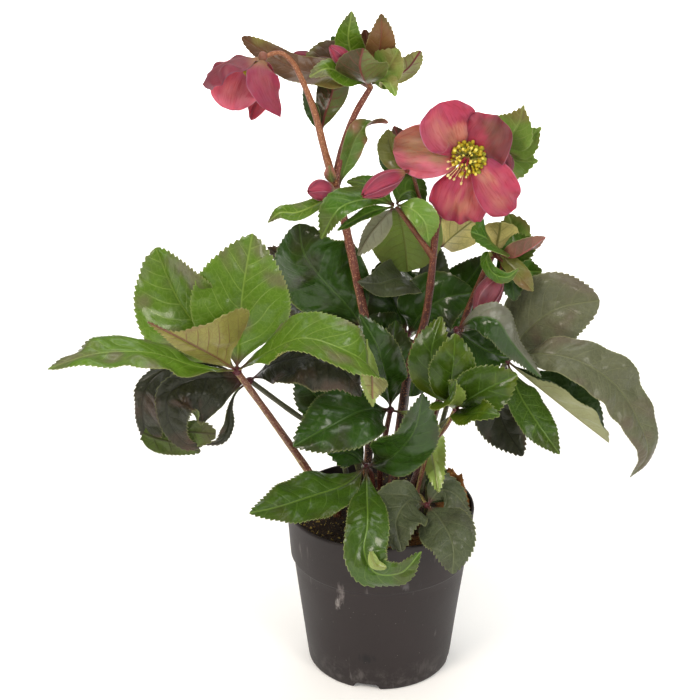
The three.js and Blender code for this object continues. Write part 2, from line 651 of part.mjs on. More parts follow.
const flowers = {
  // The open flower, facing the front.
  front_flower: {
    stem: 'flower_stem_front', hubRadius: 4.6, axis: [-0.15, -0.98, 0.12],
    stamens: 16, spread: 11, stamenLength: 12, carpels: 3, carpelLength: 9,
    hub: [53, -2, 364],
    tepals: [
      {
        rib: [[53, -2, 364], [45, -8, 378], [39, -13, 390], [34, -9, 400]],
        face: [[0.1, -0.9, 0.3], [0, -0.95, 0.1]], width: 40, fold: [14, 10], curl: [-6, -14],
        wave: 0.8, peak: 0.62, base: 3.4,
      },
      {
        rib: [[53, -2, 364], [60, -8, 375], [68, -9, 382], [75, -3, 389]],
        face: [[-0.1, -0.9, 0.3], [0.1, -0.95, 0.2]], width: 42, fold: [6, 12], curl: [0, -16],
        wave: 0.8, peak: 0.62, base: 3.4,
      },
      {
        rib: [[53, -2, 364], [60, -12, 356], [69, -17, 347], [81, -12, 331]],
        face: [[-0.1, -0.9, 0.4], [0, -0.95, 0.3]], width: 34, fold: [10, 10], curl: [-10, -10],
        wave: 0.8, peak: 0.62, base: 3.4,
      },
      {
        rib: [[53, -2, 364], [51, -7, 352], [48, -8, 339], [46, 0, 321]],
        face: [[0, -0.95, 0.4], [-0.1, -0.95, 0.3]], width: 38, fold: [10, 10], curl: [-10, -10],
        wave: 0.8, peak: 0.6, base: 3.4,
      },
      {
        rib: [[53, -2, 364], [39, -6, 367], [23, -6, 369], [6, 3, 367]],
        face: [[0.1, -0.95, 0.3], [-0.1, -0.95, 0.2]], width: 38, fold: [10, 12], curl: [-8, -8],
        wave: 0.8, peak: 0.56, base: 3.4,
      },
    ],
  },
  // The nodding flower at the upper left.
  side_flower: {
    stem: 'flower_stem_left', hubRadius: 4.2, axis: [-0.4, 0, -0.92],
    stamens: 8, spread: 6, stamenLength: 11, carpels: 0, carpelLength: 0,
    hub: [-74, -12, 428],
    tepals: [
      {
        rib: [[-74, -12, 428], [-89, -16, 428], [-102, -16, 423], [-110, -14, 412]],
        face: [[0, -0.2, 1], [-0.6, -0.2, 0.8]], width: 34, fold: [-16, -16], wave: 0.8, peak: 0.6,
        base: 3.4,
      },
      {
        rib: [[-74, -12, 428], [-84, 2, 418], [-92, 4, 407], [-94, 0, 394]],
        face: [[0.3, 0.8, 0.4], [0.1, 0.95, 0]], width: 34, fold: [-12, -12], wave: 0.8, peak: 0.6,
        base: 3.4,
      },
      {
        rib: [[-74, -12, 428], [-73, -24, 422], [-71, -27, 410], [-64, -22, 394]],
        face: [[0.3, -0.7, 0.6], [0.4, -0.9, 0.1]], width: 31, fold: [-14, -14], wave: 0.8, peak: 0.52,
        base: 3.4,
      },
      {
        rib: [[-74, -12, 428], [-73, 8, 413], [-76, 12, 399], [-81, 6, 387]],
        face: [[0.4, 0.8, 0.3], [0.3, 0.9, 0]], width: 26, fold: [-12, -12], wave: 0.8, peak: 0.6,
        base: 3.4,
      },
      {
        rib: [[-74, -12, 428], [-78, 0, 420], [-83, 7, 412], [-88, 11, 404]],
        face: [[-0.2, 0.5, 0.8], [-0.6, 0.6, 0.4]], width: 24, fold: [-12, -12], wave: 0.8, peak: 0.6,
        base: 3.4,
      },
    ],
  },
};

const buds = {
  bud_front: { stem: 'flower_stem_front', base: [12, -8, 356], tip: [-13, -32, 348], width: 14 },
  bud_left: { stem: 'flower_stem_left', base: [-32, -8, 346], tip: [-47, -16, 346], width: 13 },
  bud_top: { stem: 'flower_stem_left', base: [-20, 3, 420], tip: [-33, 0, 433], width: 10 },
  bud_top_left: { stem: 'flower_stem_left', base: [-39, 40, 416], tip: [-57, 38, 422], width: 8 },
  bud_right: { stem: 'flower_stem_right', base: [75, -10, 290], tip: [61, -20, 265], width: 17 },
  bud_flower_right: { stem: 'flower_stem_front', base: [76, 11, 365], tip: [81, 0, 355], width: 8 },
};


// ---------------------------------------------------------------- helpers
const vec = (p) => new THREE.Vector3(p[0], p[1], p[2]);
const radians = (degrees) => THREE.MathUtils.degToRad(degrees);
const mix = (a, b, t) => a + (b - a) * t;

// A repeatable value between -1 and 1 for a whole number.
function scatter(n) {
  const x = Math.sin(n * 12.9898 + 4.137) * 43758.5453;
  return 2 * (x - Math.floor(x)) - 1;
}

function solid(points, triangles) {
  const vertProperties = new Float32Array(points.flatMap((p) => [p.x, p.y, p.z]));
  const triVerts = new Uint32Array(triangles.flat());
  return new wasm.Manifold(new wasm.Mesh({ numProp: 3, vertProperties, triVerts }));
}

function solidFrom(geometry) {
  const bare = new THREE.BufferGeometry();
  bare.setAttribute('position', geometry.getAttribute('position'));
  if (geometry.index) bare.setIndex(geometry.index);
  const merged = mergeVertices(bare, 1e-4);
  const position = merged.getAttribute('position');
  const points = [];
  for (let i = 0; i < position.count; i += 1) {
    points.push(new THREE.Vector3().fromBufferAttribute(position, i));
  }
  const triangles = [];
  for (let i = 0; i < merged.index.count; i += 3) {
    const t = [merged.index.getX(i), merged.index.getX(i + 1), merged.index.getX(i + 2)];
    if (t[0] !== t[1] && t[1] !== t[2] && t[2] !== t[0]) triangles.push(t);
  }
  return solid(points, triangles);
}

const fuse = (solids) => solids.reduce((all, next) => all.add(next));

// Only the main body stays; a crumb cut loose is dropped.
function mainBody(shape) {
  const parts = shape.decompose();
  return parts.reduce((best, next) => (next.volume() > best.volume() ? next : best));
}

function node(name, shape, colour, roughness = 0.6) {
  const mesh = shape.getMesh();
  const geometry = new THREE.BufferGeometry();
  const count = mesh.vertProperties.length / mesh.numProp;
  const position = new Float32Array(count * 3);
  for (let i = 0; i < count; i += 1) {
    for (let k = 0; k < 3; k += 1) position[3 * i + k] = mesh.vertProperties[mesh.numProp * i + k];
  }
  geometry.setAttribute('position', new THREE.BufferAttribute(position, 3));
  geometry.setIndex(Array.from(mesh.triVerts));
  const item = new THREE.Mesh(geometry, new THREE.MeshStandardMaterial({ color: colour, roughness }));
  item.name = name;
  return item;
}

// ---------------------------------------------------------------- blades
// A blade follows its midrib; `face` turns its upper side, `fold` lifts each half from flat
// (left, right, in degrees), `curl` bends each half on towards its edge, and the edge is toothed.
function directionAt(list, t) {
  const at = t * (list.length - 1);
  const i = Math.min(Math.floor(at), list.length - 2);
  if (list.length === 1) return vec(list[0]);
  return vec(list[i]).lerp(vec(list[i + 1]), at - i);
}

function bladeOutline(t, spec) {
  const rise = Math.log(0.5) / Math.log(spec.peak ?? 0.5);
  const wedge = THREE.MathUtils.clamp(0.2 + 0.8 * (t / spec.wedge), 0, 1);
  return wedge * Math.sin(Math.PI * t ** rise) ** spec.fullness;
}

// Across a half: how far out and how far up the point at share s lies, for a half one unit wide.
function halfSection(fold, curl, s) {
  const a = radians(fold);
  const b = radians(curl);
  if (Math.abs(b) < 1e-3) return [s * Math.cos(a), s * Math.sin(a)];
  return [(Math.sin(a + b * s) - Math.sin(a)) / b, (Math.cos(a) - Math.cos(a + b * s)) / b];
}

function stationShares(count, toothed) {
  const shares = [];
  for (let i = 0; i < count; i += 1) {
    const even = i / (count - 1);
    const nudge = toothed && i % 2 === 0 && i > 0 && i < count - 1 ? -0.32 / (count - 1) : 0;
    shares.push(even + nudge);
  }
  return shares;
}

// More stations along a longer blade, within its least and most.
function stationsFor(rib, step, [least, most]) {
  const length = new THREE.CatmullRomCurve3(rib.map(vec), false, 'centripetal').getLength();
  return THREE.MathUtils.clamp(Math.round(length / step) + 1, least, most);
}

function bladePoints(spec, stations, acrossShares) {
  const curve = new THREE.CatmullRomCurve3(spec.rib.map(vec), false, 'centripetal');
  const teeth = spec.tooth;
  const fold = spec.fold;
  const tipFold = spec.tipFold ?? spec.fold;
  const curl = spec.curl ?? [0, 0];
  const wave = spec.wave ?? 1;
  const inset = spec.inset / curve.getLength();
  return stationShares(stations, teeth > 0).map((t, i) => {
    const centre = curve.getPointAt(mix(inset, 1, t));
    const along = curve.getTangentAt(mix(inset, 1, t));
    const side = new THREE.Vector3().crossVectors(along, directionAt(spec.face, t)).normalize();
    const up = new THREE.Vector3().crossVectors(side, along).normalize();
    const inner = t > 0.08 && t < 0.97;
    const toothStep = inner ? teeth * (i % 2 === 1 ? 0.75 : -0.35) : 0;
    const least = mix(spec.base ?? bladeBaseHalfWidth, bladeTipHalfWidth, t);
    const half = Math.max(least, 0.5 * spec.width * bladeOutline(t, spec) + toothStep);
    const row = acrossShares.map((share) => {
      const which = share < 0 ? 0 : 1;
      const bend = mix(fold[which], tipFold[which], THREE.MathUtils.smoothstep(t, 0.1, 0.8));
      const [out, lift] = halfSection(bend, curl[which], Math.abs(share));
      const swing = Math.sin(t * 9 + which * 2.1 + spec.width);
      const ripple = wave * share * share * swing * bladeOutline(t, spec);
      return centre.clone()
        .addScaledVector(side, Math.sign(share) * out * half)
        .addScaledVector(up, lift * half + ripple);
    });
    return row;
  });
}

function gridNormal(grid, i, j) {
  const rows = grid.length - 1;
  const columns = grid[0].length - 1;
  const along = grid[Math.min(i + 1, rows)][j].clone().sub(grid[Math.max(i - 1, 0)][j]);
  const across = grid[i][Math.min(j + 1, columns)].clone().sub(grid[i][Math.max(j - 1, 0)]);
  return across.cross(along).normalize();
}

function blade(spec, stations, thickness, acrossShares = [-1, 0, 1]) {
  const grid = bladePoints(spec, stations, acrossShares);
  const columns = acrossShares.length;
  const points = [];
  for (const sign of [1, -1]) {
    grid.forEach((row, i) => row.forEach((p, j) => {
      points.push(p.clone().addScaledVector(gridNormal(grid, i, j), sign * thickness / 2));
    }));
  }
  const half = stations * columns;
  const at = (i, j) => i * columns + j;
  const triangles = [];
  for (let i = 0; i < stations - 1; i += 1) {
    for (let j = 0; j < columns - 1; j += 1) {
      const [a, b, c, d] = [at(i, j), at(i, j + 1), at(i + 1, j + 1), at(i + 1, j)];
      const pair = j < (columns - 1) / 2 ? [[a, b, d], [b, c, d]] : [[a, b, c], [a, c, d]];
      for (const [p, q, r] of pair) triangles.push([p, q, r], [half + p, half + r, half + q]);
    }
    for (const [j, flip] of [[0, true], [columns - 1, false]]) {
      const [p, q] = flip ? [at(i + 1, j), at(i, j)] : [at(i, j), at(i + 1, j)];
      triangles.push([p, half + p, half + q], [p, half + q, q]);
    }
  }
  for (let j = 0; j < columns - 1; j += 1) {
    for (const [i, flip] of [[0, false], [stations - 1, true]]) {
      const [p, q] = flip ? [at(i, j), at(i, j + 1)] : [at(i, j + 1), at(i, j)];
      triangles.push([p, q, half + q], [p, half + q, half + p]);
    }
  }
  return solid(points, triangles);
}

// ---------------------------------------------------------------- stalks
function ringAt(centre, along, radius, sides, start) {
  const first = start.clone().addScaledVector(along, -start.dot(along)).normalize();
  const second = new THREE.Vector3().crossVectors(along, first);
  const ring = [];
  for (let k = 0; k < sides; k += 1) {
    const a = (2 * Math.PI * k) / sides;
    ring.push(centre.clone()
      .addScaledVector(first, radius * Math.cos(a))
      .addScaledVector(second, radius * Math.sin(a)));
  }
  return { ring, first };
}

// A skin over rings of points, each ring one after another along the way, flat at both ends.
function skinned(points, rings, sides) {
  const triangles = [];
  const at = (i, k) => i * sides + (k % sides);
  for (let i = 0; i < rings - 1; i += 1) {
    for (let k = 0; k < sides; k += 1) {
      const [a, b, c, d] = [at(i, k), at(i, k + 1), at(i + 1, k + 1), at(i + 1, k)];
      triangles.push([a, b, c], [a, c, d]);
    }
  }
  const last = rings - 1;
  for (let k = 1; k < sides - 1; k += 1) {
    triangles.push([at(0, 0), at(0, k + 1), at(0, k)], [at(last, 0), at(last, k), at(last, k + 1)]);
  }
  return solid(points, triangles);
}

function tube(stops, sides) {
  const points = [];
  let start = new THREE.Vector3(0.3, 1, 0.1);
  for (const stop of stops) {
    const made = ringAt(stop.centre, stop.along, stop.radius, sides, start);
    start = made.first;
    points.push(...made.ring);
  }
  return skinned(points, stops.length, sides);
}

function tubeAlong(path, radius, { steps = 8, sides = 8, grow = 0, rooted = false, cut = 0 } = {}) {
  const points = path.map(vec);
  if (rooted) points[0].z += 4;
  const curve = new THREE.CatmullRomCurve3(points, false, 'centripetal');
  const length = curve.getLength();
  const stops = [];
  if (rooted) {
    const foot = points[0].clone();
    foot.z = soilTop - rootDepth + clearance - grow;
    stops.push({ centre: foot, along: new THREE.Vector3(0, 0, 1), radius: radius[0] + grow });
  }
  for (let i = 0; i <= steps; i += 1) {
    const share = (i / steps) * (1 - (cut - grow) / length);
    const along = rooted && i === 0 ? new THREE.Vector3(0, 0, 1) : curve.getTangentAt(Math.min(share, 1));
    const centre = curve.getPointAt(Math.min(share, 1));
    if (share > 1) centre.addScaledVector(along, (share - 1) * length);
    stops.push({ centre, along, radius: mix(radius[0], radius[1], i / steps) + grow });
  }
  return tube(stops, sides);
}

function ball(centre, radius, detail = 0) {
  const geometry = new THREE.IcosahedronGeometry(radius, detail);
  geometry.translate(...centre);
  return solidFrom(geometry);
}

// ---------------------------------------------------------------- pot and soil
function lathed(profile, sides) {
  return solidFrom(new THREE.LatheGeometry(profile.map(([r, z]) => new THREE.Vector2(r, z)), sides)
    .rotateX(Math.PI / 2));
}

const bodyRadiusAt = (z) => mix(baseRadius, collarRadius - collarStep, z / (potHeight - collarHeight));

function makePot() {
  const shoulder = potHeight - collarHeight;
  const inside = (r) => r - wall;
  const profile = [
    [0, 0], [centreFootRadius, 0], [centreFootRadius + 2, footHeight],
    [baseRadius - footRingWidth, footHeight], [baseRadius - footRingWidth + 1, 0],
    [baseRadius - 1, 0], [baseRadius, 1], [bodyRadiusAt(shoulder), shoulder], [collarRadius, shoulder + 1.4],
    [rimRadius, potHeight - 0.8], [rimRadius - 0.5, potHeight], [rimRadius - wall, potHeight],
    [inside(collarRadius) - 0.4, shoulder + 2.2], [inside(bodyRadiusAt(shoulder)), shoulder - 1],
    [inside(baseRadius), footHeight + floorThickness], [0, footHeight + floorThickness],
  ];
  let pot = lathed(profile, potSides);
  for (let i = 0; i < footNotches; i += 1) {
    const notch = new THREE.BoxGeometry(footNotchWidth, 2 * footRingWidth + 4, 2 * footHeight);
    notch.translate(0, baseRadius - 2, 0).rotateZ(radians((360 * i) / footNotches + footNotchTurn));
    pot = pot.subtract(solidFrom(notch));
  }
  return pot;
}

// A plug of compost that fills the pot to just below the rim, with an uneven top and a blind hole
// for each stalk.
function makeSoil(roots) {
  const low = footHeight + floorThickness + clearance;
  const shoulder = potHeight - collarHeight;
  const gap = wall + 0.65;
  const edge = mix(collarRadius, rimRadius, (soilTop - shoulder) / collarHeight) - gap - 1.4;
  const levels = [
    [1, () => low], [baseRadius - gap, () => low], [bodyRadiusAt(shoulder) - gap, () => shoulder - 1],
    [edge + 0.8, () => soilTop - 1.5], [0.98 * edge, (k) => soilTop + soilBump * scatter(k + 40)],
    [0.5 * edge, (k) => soilTop + soilBump * scatter(k)], [1, () => soilTop],
  ];
  const points = levels.flatMap(([radius, height]) => Array.from({ length: potSides }, (_, k) => {
    const angle = (2 * Math.PI * k) / potSides;
    return new THREE.Vector3(radius * Math.cos(angle), radius * Math.sin(angle), height(k));
  }));
  let soil = skinned(points, levels.length, potSides);
  for (const { at, radius } of roots) {
    const across = (radius + clearance) / Math.cos(Math.PI / 6);
    const hole = new THREE.CylinderGeometry(across, across, rootDepth + 8, 6).rotateX(Math.PI / 2);
    hole.translate(at[0], at[1], soilTop - rootDepth + (rootDepth + 8) / 2);
    soil = soil.subtract(solidFrom(hole));
  }
  return soil;
}

// ---------------------------------------------------------------- flower parts
// Places around a flower's axis: so far out from it, so far up along it, at an angle.
function axisFrame(centre, axis) {
  const along = vec(axis).normalize();
  const first = new THREE.Vector3(0, 0, 1).cross(along).normalize();
  const second = new THREE.Vector3().crossVectors(along, first);
  const place = (out, up, angle) => vec(centre).addScaledVector(along, up)
    .addScaledVector(first, out * Math.cos(angle))
    .addScaledVector(second, out * Math.sin(angle));
  return { along, place };
}

function disc(frame, radius, low, high, sides) {
  const stops = [low, high].map((up) => ({ centre: frame.place(0, up, 0), along: frame.along, radius }));
  return tube(stops, sides);
}

// A closed bud: three broad tepals wrapped over one another, each with its free edge showing.
function makeBud({ base, tip, width }) {
  const axis = vec(tip).sub(vec(base));
  const frame = axisFrame(base, axis.toArray());
  const sides = 9;
  const points = [];
  for (const t of budShares) {
    const swell = Math.max(0.16, Math.sin(Math.PI * (0.1 + 0.86 * t) ** 1.15) ** 0.8);
    const radius = t === 1 ? 0.5 : 0.5 * width * swell;
    for (let k = 0; k < sides; k += 1) {
      const lap = 1 + 0.1 * (((k % 3) / 2) - 0.5);
      const angle = (2 * Math.PI * k) / sides + 0.7 * t;
      points.push(frame.place(radius * lap, t * axis.length(), angle));
    }
  }
  return skinned(points, budShares.length, sides);
}

// A filament that swells into its anther at the end.
function stamen(from, to) {
  const along = to.clone().sub(from);
  const length = along.length();
  along.normalize();
  const at = (up, radius) => ({ centre: from.clone().addScaledVector(along, up), along, radius });
  return tube([
    at(0, filamentRadius), at(length - antherLength, filamentRadius * 0.8),
    at(length - antherLength / 2, antherRadius), at(length, 0.3),
  ], 3);
}

// Long and short stamens by turns stand on one collar.
function makeStamens(frame, { stamens, spread, stamenLength }) {
  const parts = [disc(frame, collarOuter, clearance, clearance + collarThickness, 8)
    .subtract(disc(frame, collarInner, -1, collarThickness + 2, 8))];
  const root = (collarOuter + collarInner) / 2;
  for (let i = 0; i < stamens; i += 1) {
    const angle = (2 * Math.PI * (i + 0.25 * scatter(i))) / stamens;
    const reach = spread * (i % 2 ? 1 : 0.6) * (1 + 0.14 * scatter(i + 50));
    const tall = stamenLength * (i % 2 ? 0.78 : 1) * (1 + 0.1 * scatter(i + 90));
    parts.push(stamen(frame.place(root, clearance + 0.5, angle), frame.place(reach, tall, angle)));
  }
  return fuse(parts);
}

// The carpels share one foot inside the stamens' collar and lean a little outward.
function makeCarpels(frame, { carpels, carpelLength }) {
  const parts = [disc(frame, carpelFoot, clearance, clearance + 2, 8)];
  for (let i = 0; i < carpels; i += 1) {
    const angle = (2 * Math.PI * i) / carpels;
    const path = [[0.5, 1], [0.7, 0.6 * carpelLength], [1.2, carpelLength]]
      .map(([out, up]) => frame.place(out * carpelFoot, up, angle).toArray());
    parts.push(tubeAlong(path, [0.9, 0.5], { steps: 3, sides: 5 }));
  }
  return fuse(parts);
}

// ---------------------------------------------------------------- assembly
const plant = new THREE.Group();
plant.name = 'hellebore_plant';
const roots = [];
const stemRoom = {};

function keep(name, shape, colour, roughness) {
  plant.add(node(name, mainBody(shape.simplify(clearance / 2)), colour, roughness));
}

function stemSolid({ path, radius, branches }, grow = 0) {
  return fuse([
    tubeAlong(path, radius, { steps: 7, sides: 6, grow, rooted: true }),
    ...branches.map((b) => tubeAlong(b.path, b.radius, { steps: b.path.length, sides: 5, grow })),
  ]);
}

function addLeaf(name, leaf) {
  const shape = { steps: 6, sides: 6, rooted: true, cut: stalkStop };
  const room = tubeAlong(leaf.stalk, leaf.stalkRadius, { ...shape, grow: clearance });
  const hubRadius = leaf.stalkRadius[1] + hubWall;
  const leaflets = leaf.blades.map((b) => blade(
    { ...leafletForm, inset: hubInset * hubRadius, ...b },
    stationsFor(b.rib, leafletStep, leafletStations),
    bladeThickness,
  ));
  const hub = ball(leaf.stalk[leaf.stalk.length - 1], hubRadius);
  keep(`${name}_stalk`, tubeAlong(leaf.stalk, leaf.stalkRadius, shape), colours.stalk);
  keep(`${name}_blades`, fuse([hub, ...leaflets]).simplify(simplifyBy).subtract(room), colours[leaf.tone]);
  roots.push({ at: leaf.stalk[0], radius: leaf.stalkRadius[0] });
}

function addBracts(name, spray) {
  const parts = spray.blades.map((b) => blade(
    { ...bractForm, inset: hubInset * spray.hubRadius, ...b },
    stationsFor(b.rib, bractStep, bractStations),
    bladeThickness,
  ));
  const whole = fuse([ball(spray.hub, spray.hubRadius), ...parts]).simplify(simplifyBy);
  keep(name, whole.subtract(stemRoom[spray.stem]), colours.bract);
}

// The tepals' hub is cut flat in front, where the stamens and carpels are seated.
function addFlower(name, flower) {
  const tepals = flower.tepals.map((b) => blade(
    { ...tepalForm, inset: hubInset * flower.hubRadius, ...b },
    tepalStations,
    tepalThickness,
    tepalShares,
  ));
  const toSeat = vec(flower.axis).setLength(seatShare * flower.hubRadius);
  const frame = axisFrame(vec(flower.hub).add(toSeat).toArray(), flower.axis);
  const whole = fuse([ball(flower.hub, flower.hubRadius), ...tepals]).simplify(simplifyBy);
  const bowl = disc(frame, collarOuter + 2 * clearance, 0, flower.hubRadius + 5, 10);
  keep(`${name}_tepals`, whole.subtract(bowl).subtract(stemRoom[flower.stem]), colours.tepal, 0.5);
  keep(`${name}_stamens`, makeStamens(frame, flower), colours.stamen);
  if (flower.carpels) keep(`${name}_carpels`, makeCarpels(frame, flower), colours.carpel);
}

for (const [name, spec] of Object.entries(stems)) {
  stemRoom[name] = stemSolid(spec, clearance);
  keep(name, stemSolid(spec), colours.flowerStem);
  roots.push({ at: spec.path[0], radius: spec.radius[0] });
}
for (const [name, leaf] of Object.entries(leaves)) addLeaf(name, leaf);
for (const [name, spray] of Object.entries(bracts)) addBracts(name, spray);
for (const [name, flower] of Object.entries(flowers)) addFlower(name, flower);
for (const [name, bud] of Object.entries(buds)) {
  keep(name, makeBud(bud).subtract(stemRoom[bud.stem]), colours.tepal, 0.45);
}
keep('soil', makeSoil(roots), colours.soil, 0.95);
keep('pot', makePot(), colours.pot, 0.5);

export default plant;
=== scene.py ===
# Hellebore in its nursery pot: the pot, its peat, stalked leaves, bracted stems, buds and flowers.
# Sizes in the dictionaries are millimetres in the part's frame; meshes are made in metres.
# Colours are written as a screen shows them, "rrggbb".
import math
import re

import bpy
import numpy as np
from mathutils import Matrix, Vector


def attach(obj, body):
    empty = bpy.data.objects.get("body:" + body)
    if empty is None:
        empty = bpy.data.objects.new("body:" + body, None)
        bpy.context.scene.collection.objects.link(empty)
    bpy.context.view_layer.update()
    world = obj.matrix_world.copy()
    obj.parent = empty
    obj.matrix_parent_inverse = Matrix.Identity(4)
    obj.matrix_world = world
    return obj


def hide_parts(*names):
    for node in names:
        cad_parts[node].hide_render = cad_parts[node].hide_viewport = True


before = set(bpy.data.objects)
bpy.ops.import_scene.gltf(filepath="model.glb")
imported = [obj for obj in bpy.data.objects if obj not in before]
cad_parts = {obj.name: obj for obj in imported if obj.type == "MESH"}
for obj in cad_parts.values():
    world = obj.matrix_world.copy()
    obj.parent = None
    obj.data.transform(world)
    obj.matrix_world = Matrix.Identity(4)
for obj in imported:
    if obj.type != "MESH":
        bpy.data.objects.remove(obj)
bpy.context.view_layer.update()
millimetre = 0.001
print("frame loaded,", len(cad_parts), "nodes")


# Stage

cameraView = dict(place=(-21, -878, 583), pitchDown=21.73, focalLength=73.23, sensorWidth=36)
# The floor's size and every lamp's place, target and size are metres; the floor lies its drop, in
# millimetres, below the pot's foot.
floorLook = dict(size=12, drop=0.2, colour="f4f3f1", roughness=0.75, glow=0.12)
skyLight = dict(colour="f8f7f4", strength=0.18)


def plantBox(place, size, watts, colour):
    # a lamp aimed at the middle of the plant
    return dict(place=place, target=(0, 0, 0.25), size=size, watts=watts, spread=170, colour=colour)


def floorBox(x, y, watts):
    # a wide lamp over a far part of the floor
    return dict(place=(x, y, 2.6), target=(x, y, 0), size=3.2, watts=watts, spread=95, colour="ffffff")


softBoxes = {
    "high_left": plantBox((-1.1, -1.25, 1.5), 0.7, 22, "fff4e6"),
    "front_right": plantBox((1.05, -1.4, 1.0), 0.6, 11.5, "fffaf2"),
    "overhead": plantBox((0.2, 0.1, 1.7), 0.8, 8.2, "fffdf8"),
    "far_floor": floorBox(0, 3.2, 150),
    "left_floor": floorBox(-3.2, 0, 90),
    "right_floor": floorBox(3.2, 0, 90),
    "near_floor": floorBox(0, -3.2, 90),
}


def linearColour(code):
    # "rrggbb" as shown on a screen, to the renderer's linear values
    shown = np.array([int(code[i:i + 2], 16) for i in (0, 2, 4)]) / 255
    linear = np.where(shown <= 0.04045, shown / 12.92, ((shown + 0.055) / 1.055) ** 2.4)
    return tuple(float(c) for c in linear) + (1.0,)


def inkOf(code):
    # the same as an array, ready to be blended
    return np.array(linearColour(code))


def addObject(name, data):
    made = bpy.data.objects.new(name, data)
    bpy.context.scene.collection.objects.link(made)
    return made


def aimAt(item, target):
    item.rotation_euler = (item.location - Vector(target)).to_track_quat("Z", "Y").to_euler()


def setStage():
    lens = bpy.data.cameras.new("view")
    lens.lens = cameraView["focalLength"]
    lens.sensor_width = cameraView["sensorWidth"]
    camera = addObject("view", lens)
    camera.location = [millimetre * c for c in cameraView["place"]]
    camera.rotation_euler = (math.radians(90 - cameraView["pitchDown"]), 0, 0)
    bpy.context.scene.camera = camera
    for name, box in softBoxes.items():
        light = bpy.data.lights.new(name, "AREA")
        light.energy = box["watts"]
        light.size = box["size"]
        light.spread = math.radians(box["spread"])
        light.color = linearColour(box["colour"])[:3]
        lamp = addObject(name, light)
        lamp.location = box["place"]
        aimAt(lamp, box["target"])
    sky = bpy.data.worlds.new("sky")
    sky.use_nodes = True
    sky.node_tree.nodes["Background"].inputs["Color"].default_value = linearColour(skyLight["colour"])
    sky.node_tree.nodes["Background"].inputs["Strength"].default_value = skyLight["strength"]
    bpy.context.scene.world = sky
    bpy.context.scene.view_settings.view_transform = "Standard"


# Node trees

def findSocket(sockets, key):
    # by place, by identifier, or by name
    if isinstance(key, int):
        return sockets[key]
    return next(s for s in sockets if key in (s.identifier, s.name))


def mathMethod(operation, swapped=False):
    # an operator of Wire, as a Math node; swapped where the wire stands on the right
    def apply(self, other=0.0):
        first, second = (other, self) if swapped else (self, other)
        return self.trees.maths(operation, first, second)
    return apply


class Wire:
    # a socket in a node tree; arithmetic on it adds Math nodes
    def __init__(self, trees, socket):
        self.trees = trees
        self.socket = socket

    __add__ = mathMethod("ADD")
    __radd__ = mathMethod("ADD", swapped=True)
    __sub__ = mathMethod("SUBTRACT")
    __rsub__ = mathMethod("SUBTRACT", swapped=True)
    __mul__ = mathMethod("MULTIPLY")
    __rmul__ = mathMethod("MULTIPLY", swapped=True)
    __truediv__ = mathMethod("DIVIDE")
    __pow__ = mathMethod("POWER")
    __gt__ = mathMethod("GREATER_THAN")
    __abs__ = mathMethod("ABSOLUTE")


class Trees:
    # a node tree under construction
    def __init__(self, tree):
        self.tree = tree

    def plug(self, value, socket):
        if isinstance(value, Wire):
            self.tree.links.new(value.socket, socket)
        elif value is not None:
            socket.default_value = value

    def node(self, kind, settings=None, sockets=None, output=0):
        made = self.tree.nodes.new(kind)
        for key, value in (settings or {}).items():
            setattr(made, key, value)
        for key, value in (sockets or {}).items():
            self.plug(value, findSocket(made.inputs, key))
        return Wire(self, findSocket(made.outputs, output)) if len(made.outputs) else made

    def maths(self, operation, first, second=0.0):
        return self.node("ShaderNodeMath", {"operation": operation}, {0: first, 1: second})

    def highest(self, first, second):
        return self.maths("MAXIMUM", first, second)

    def scaled(self, vector, amount):
        return self.node("ShaderNodeVectorMath", {"operation": "SCALE"}, {0: vector, "Scale": amount})

    def join(self, x, y, z):
        return self.node("ShaderNodeCombineXYZ", None, {0: x, 1: y, 2: z})

    def parts(self, vector):
        made = self.node("ShaderNodeSeparateXYZ", None, {0: vector})
        return [Wire(self, s) for s in made.socket.node.outputs]


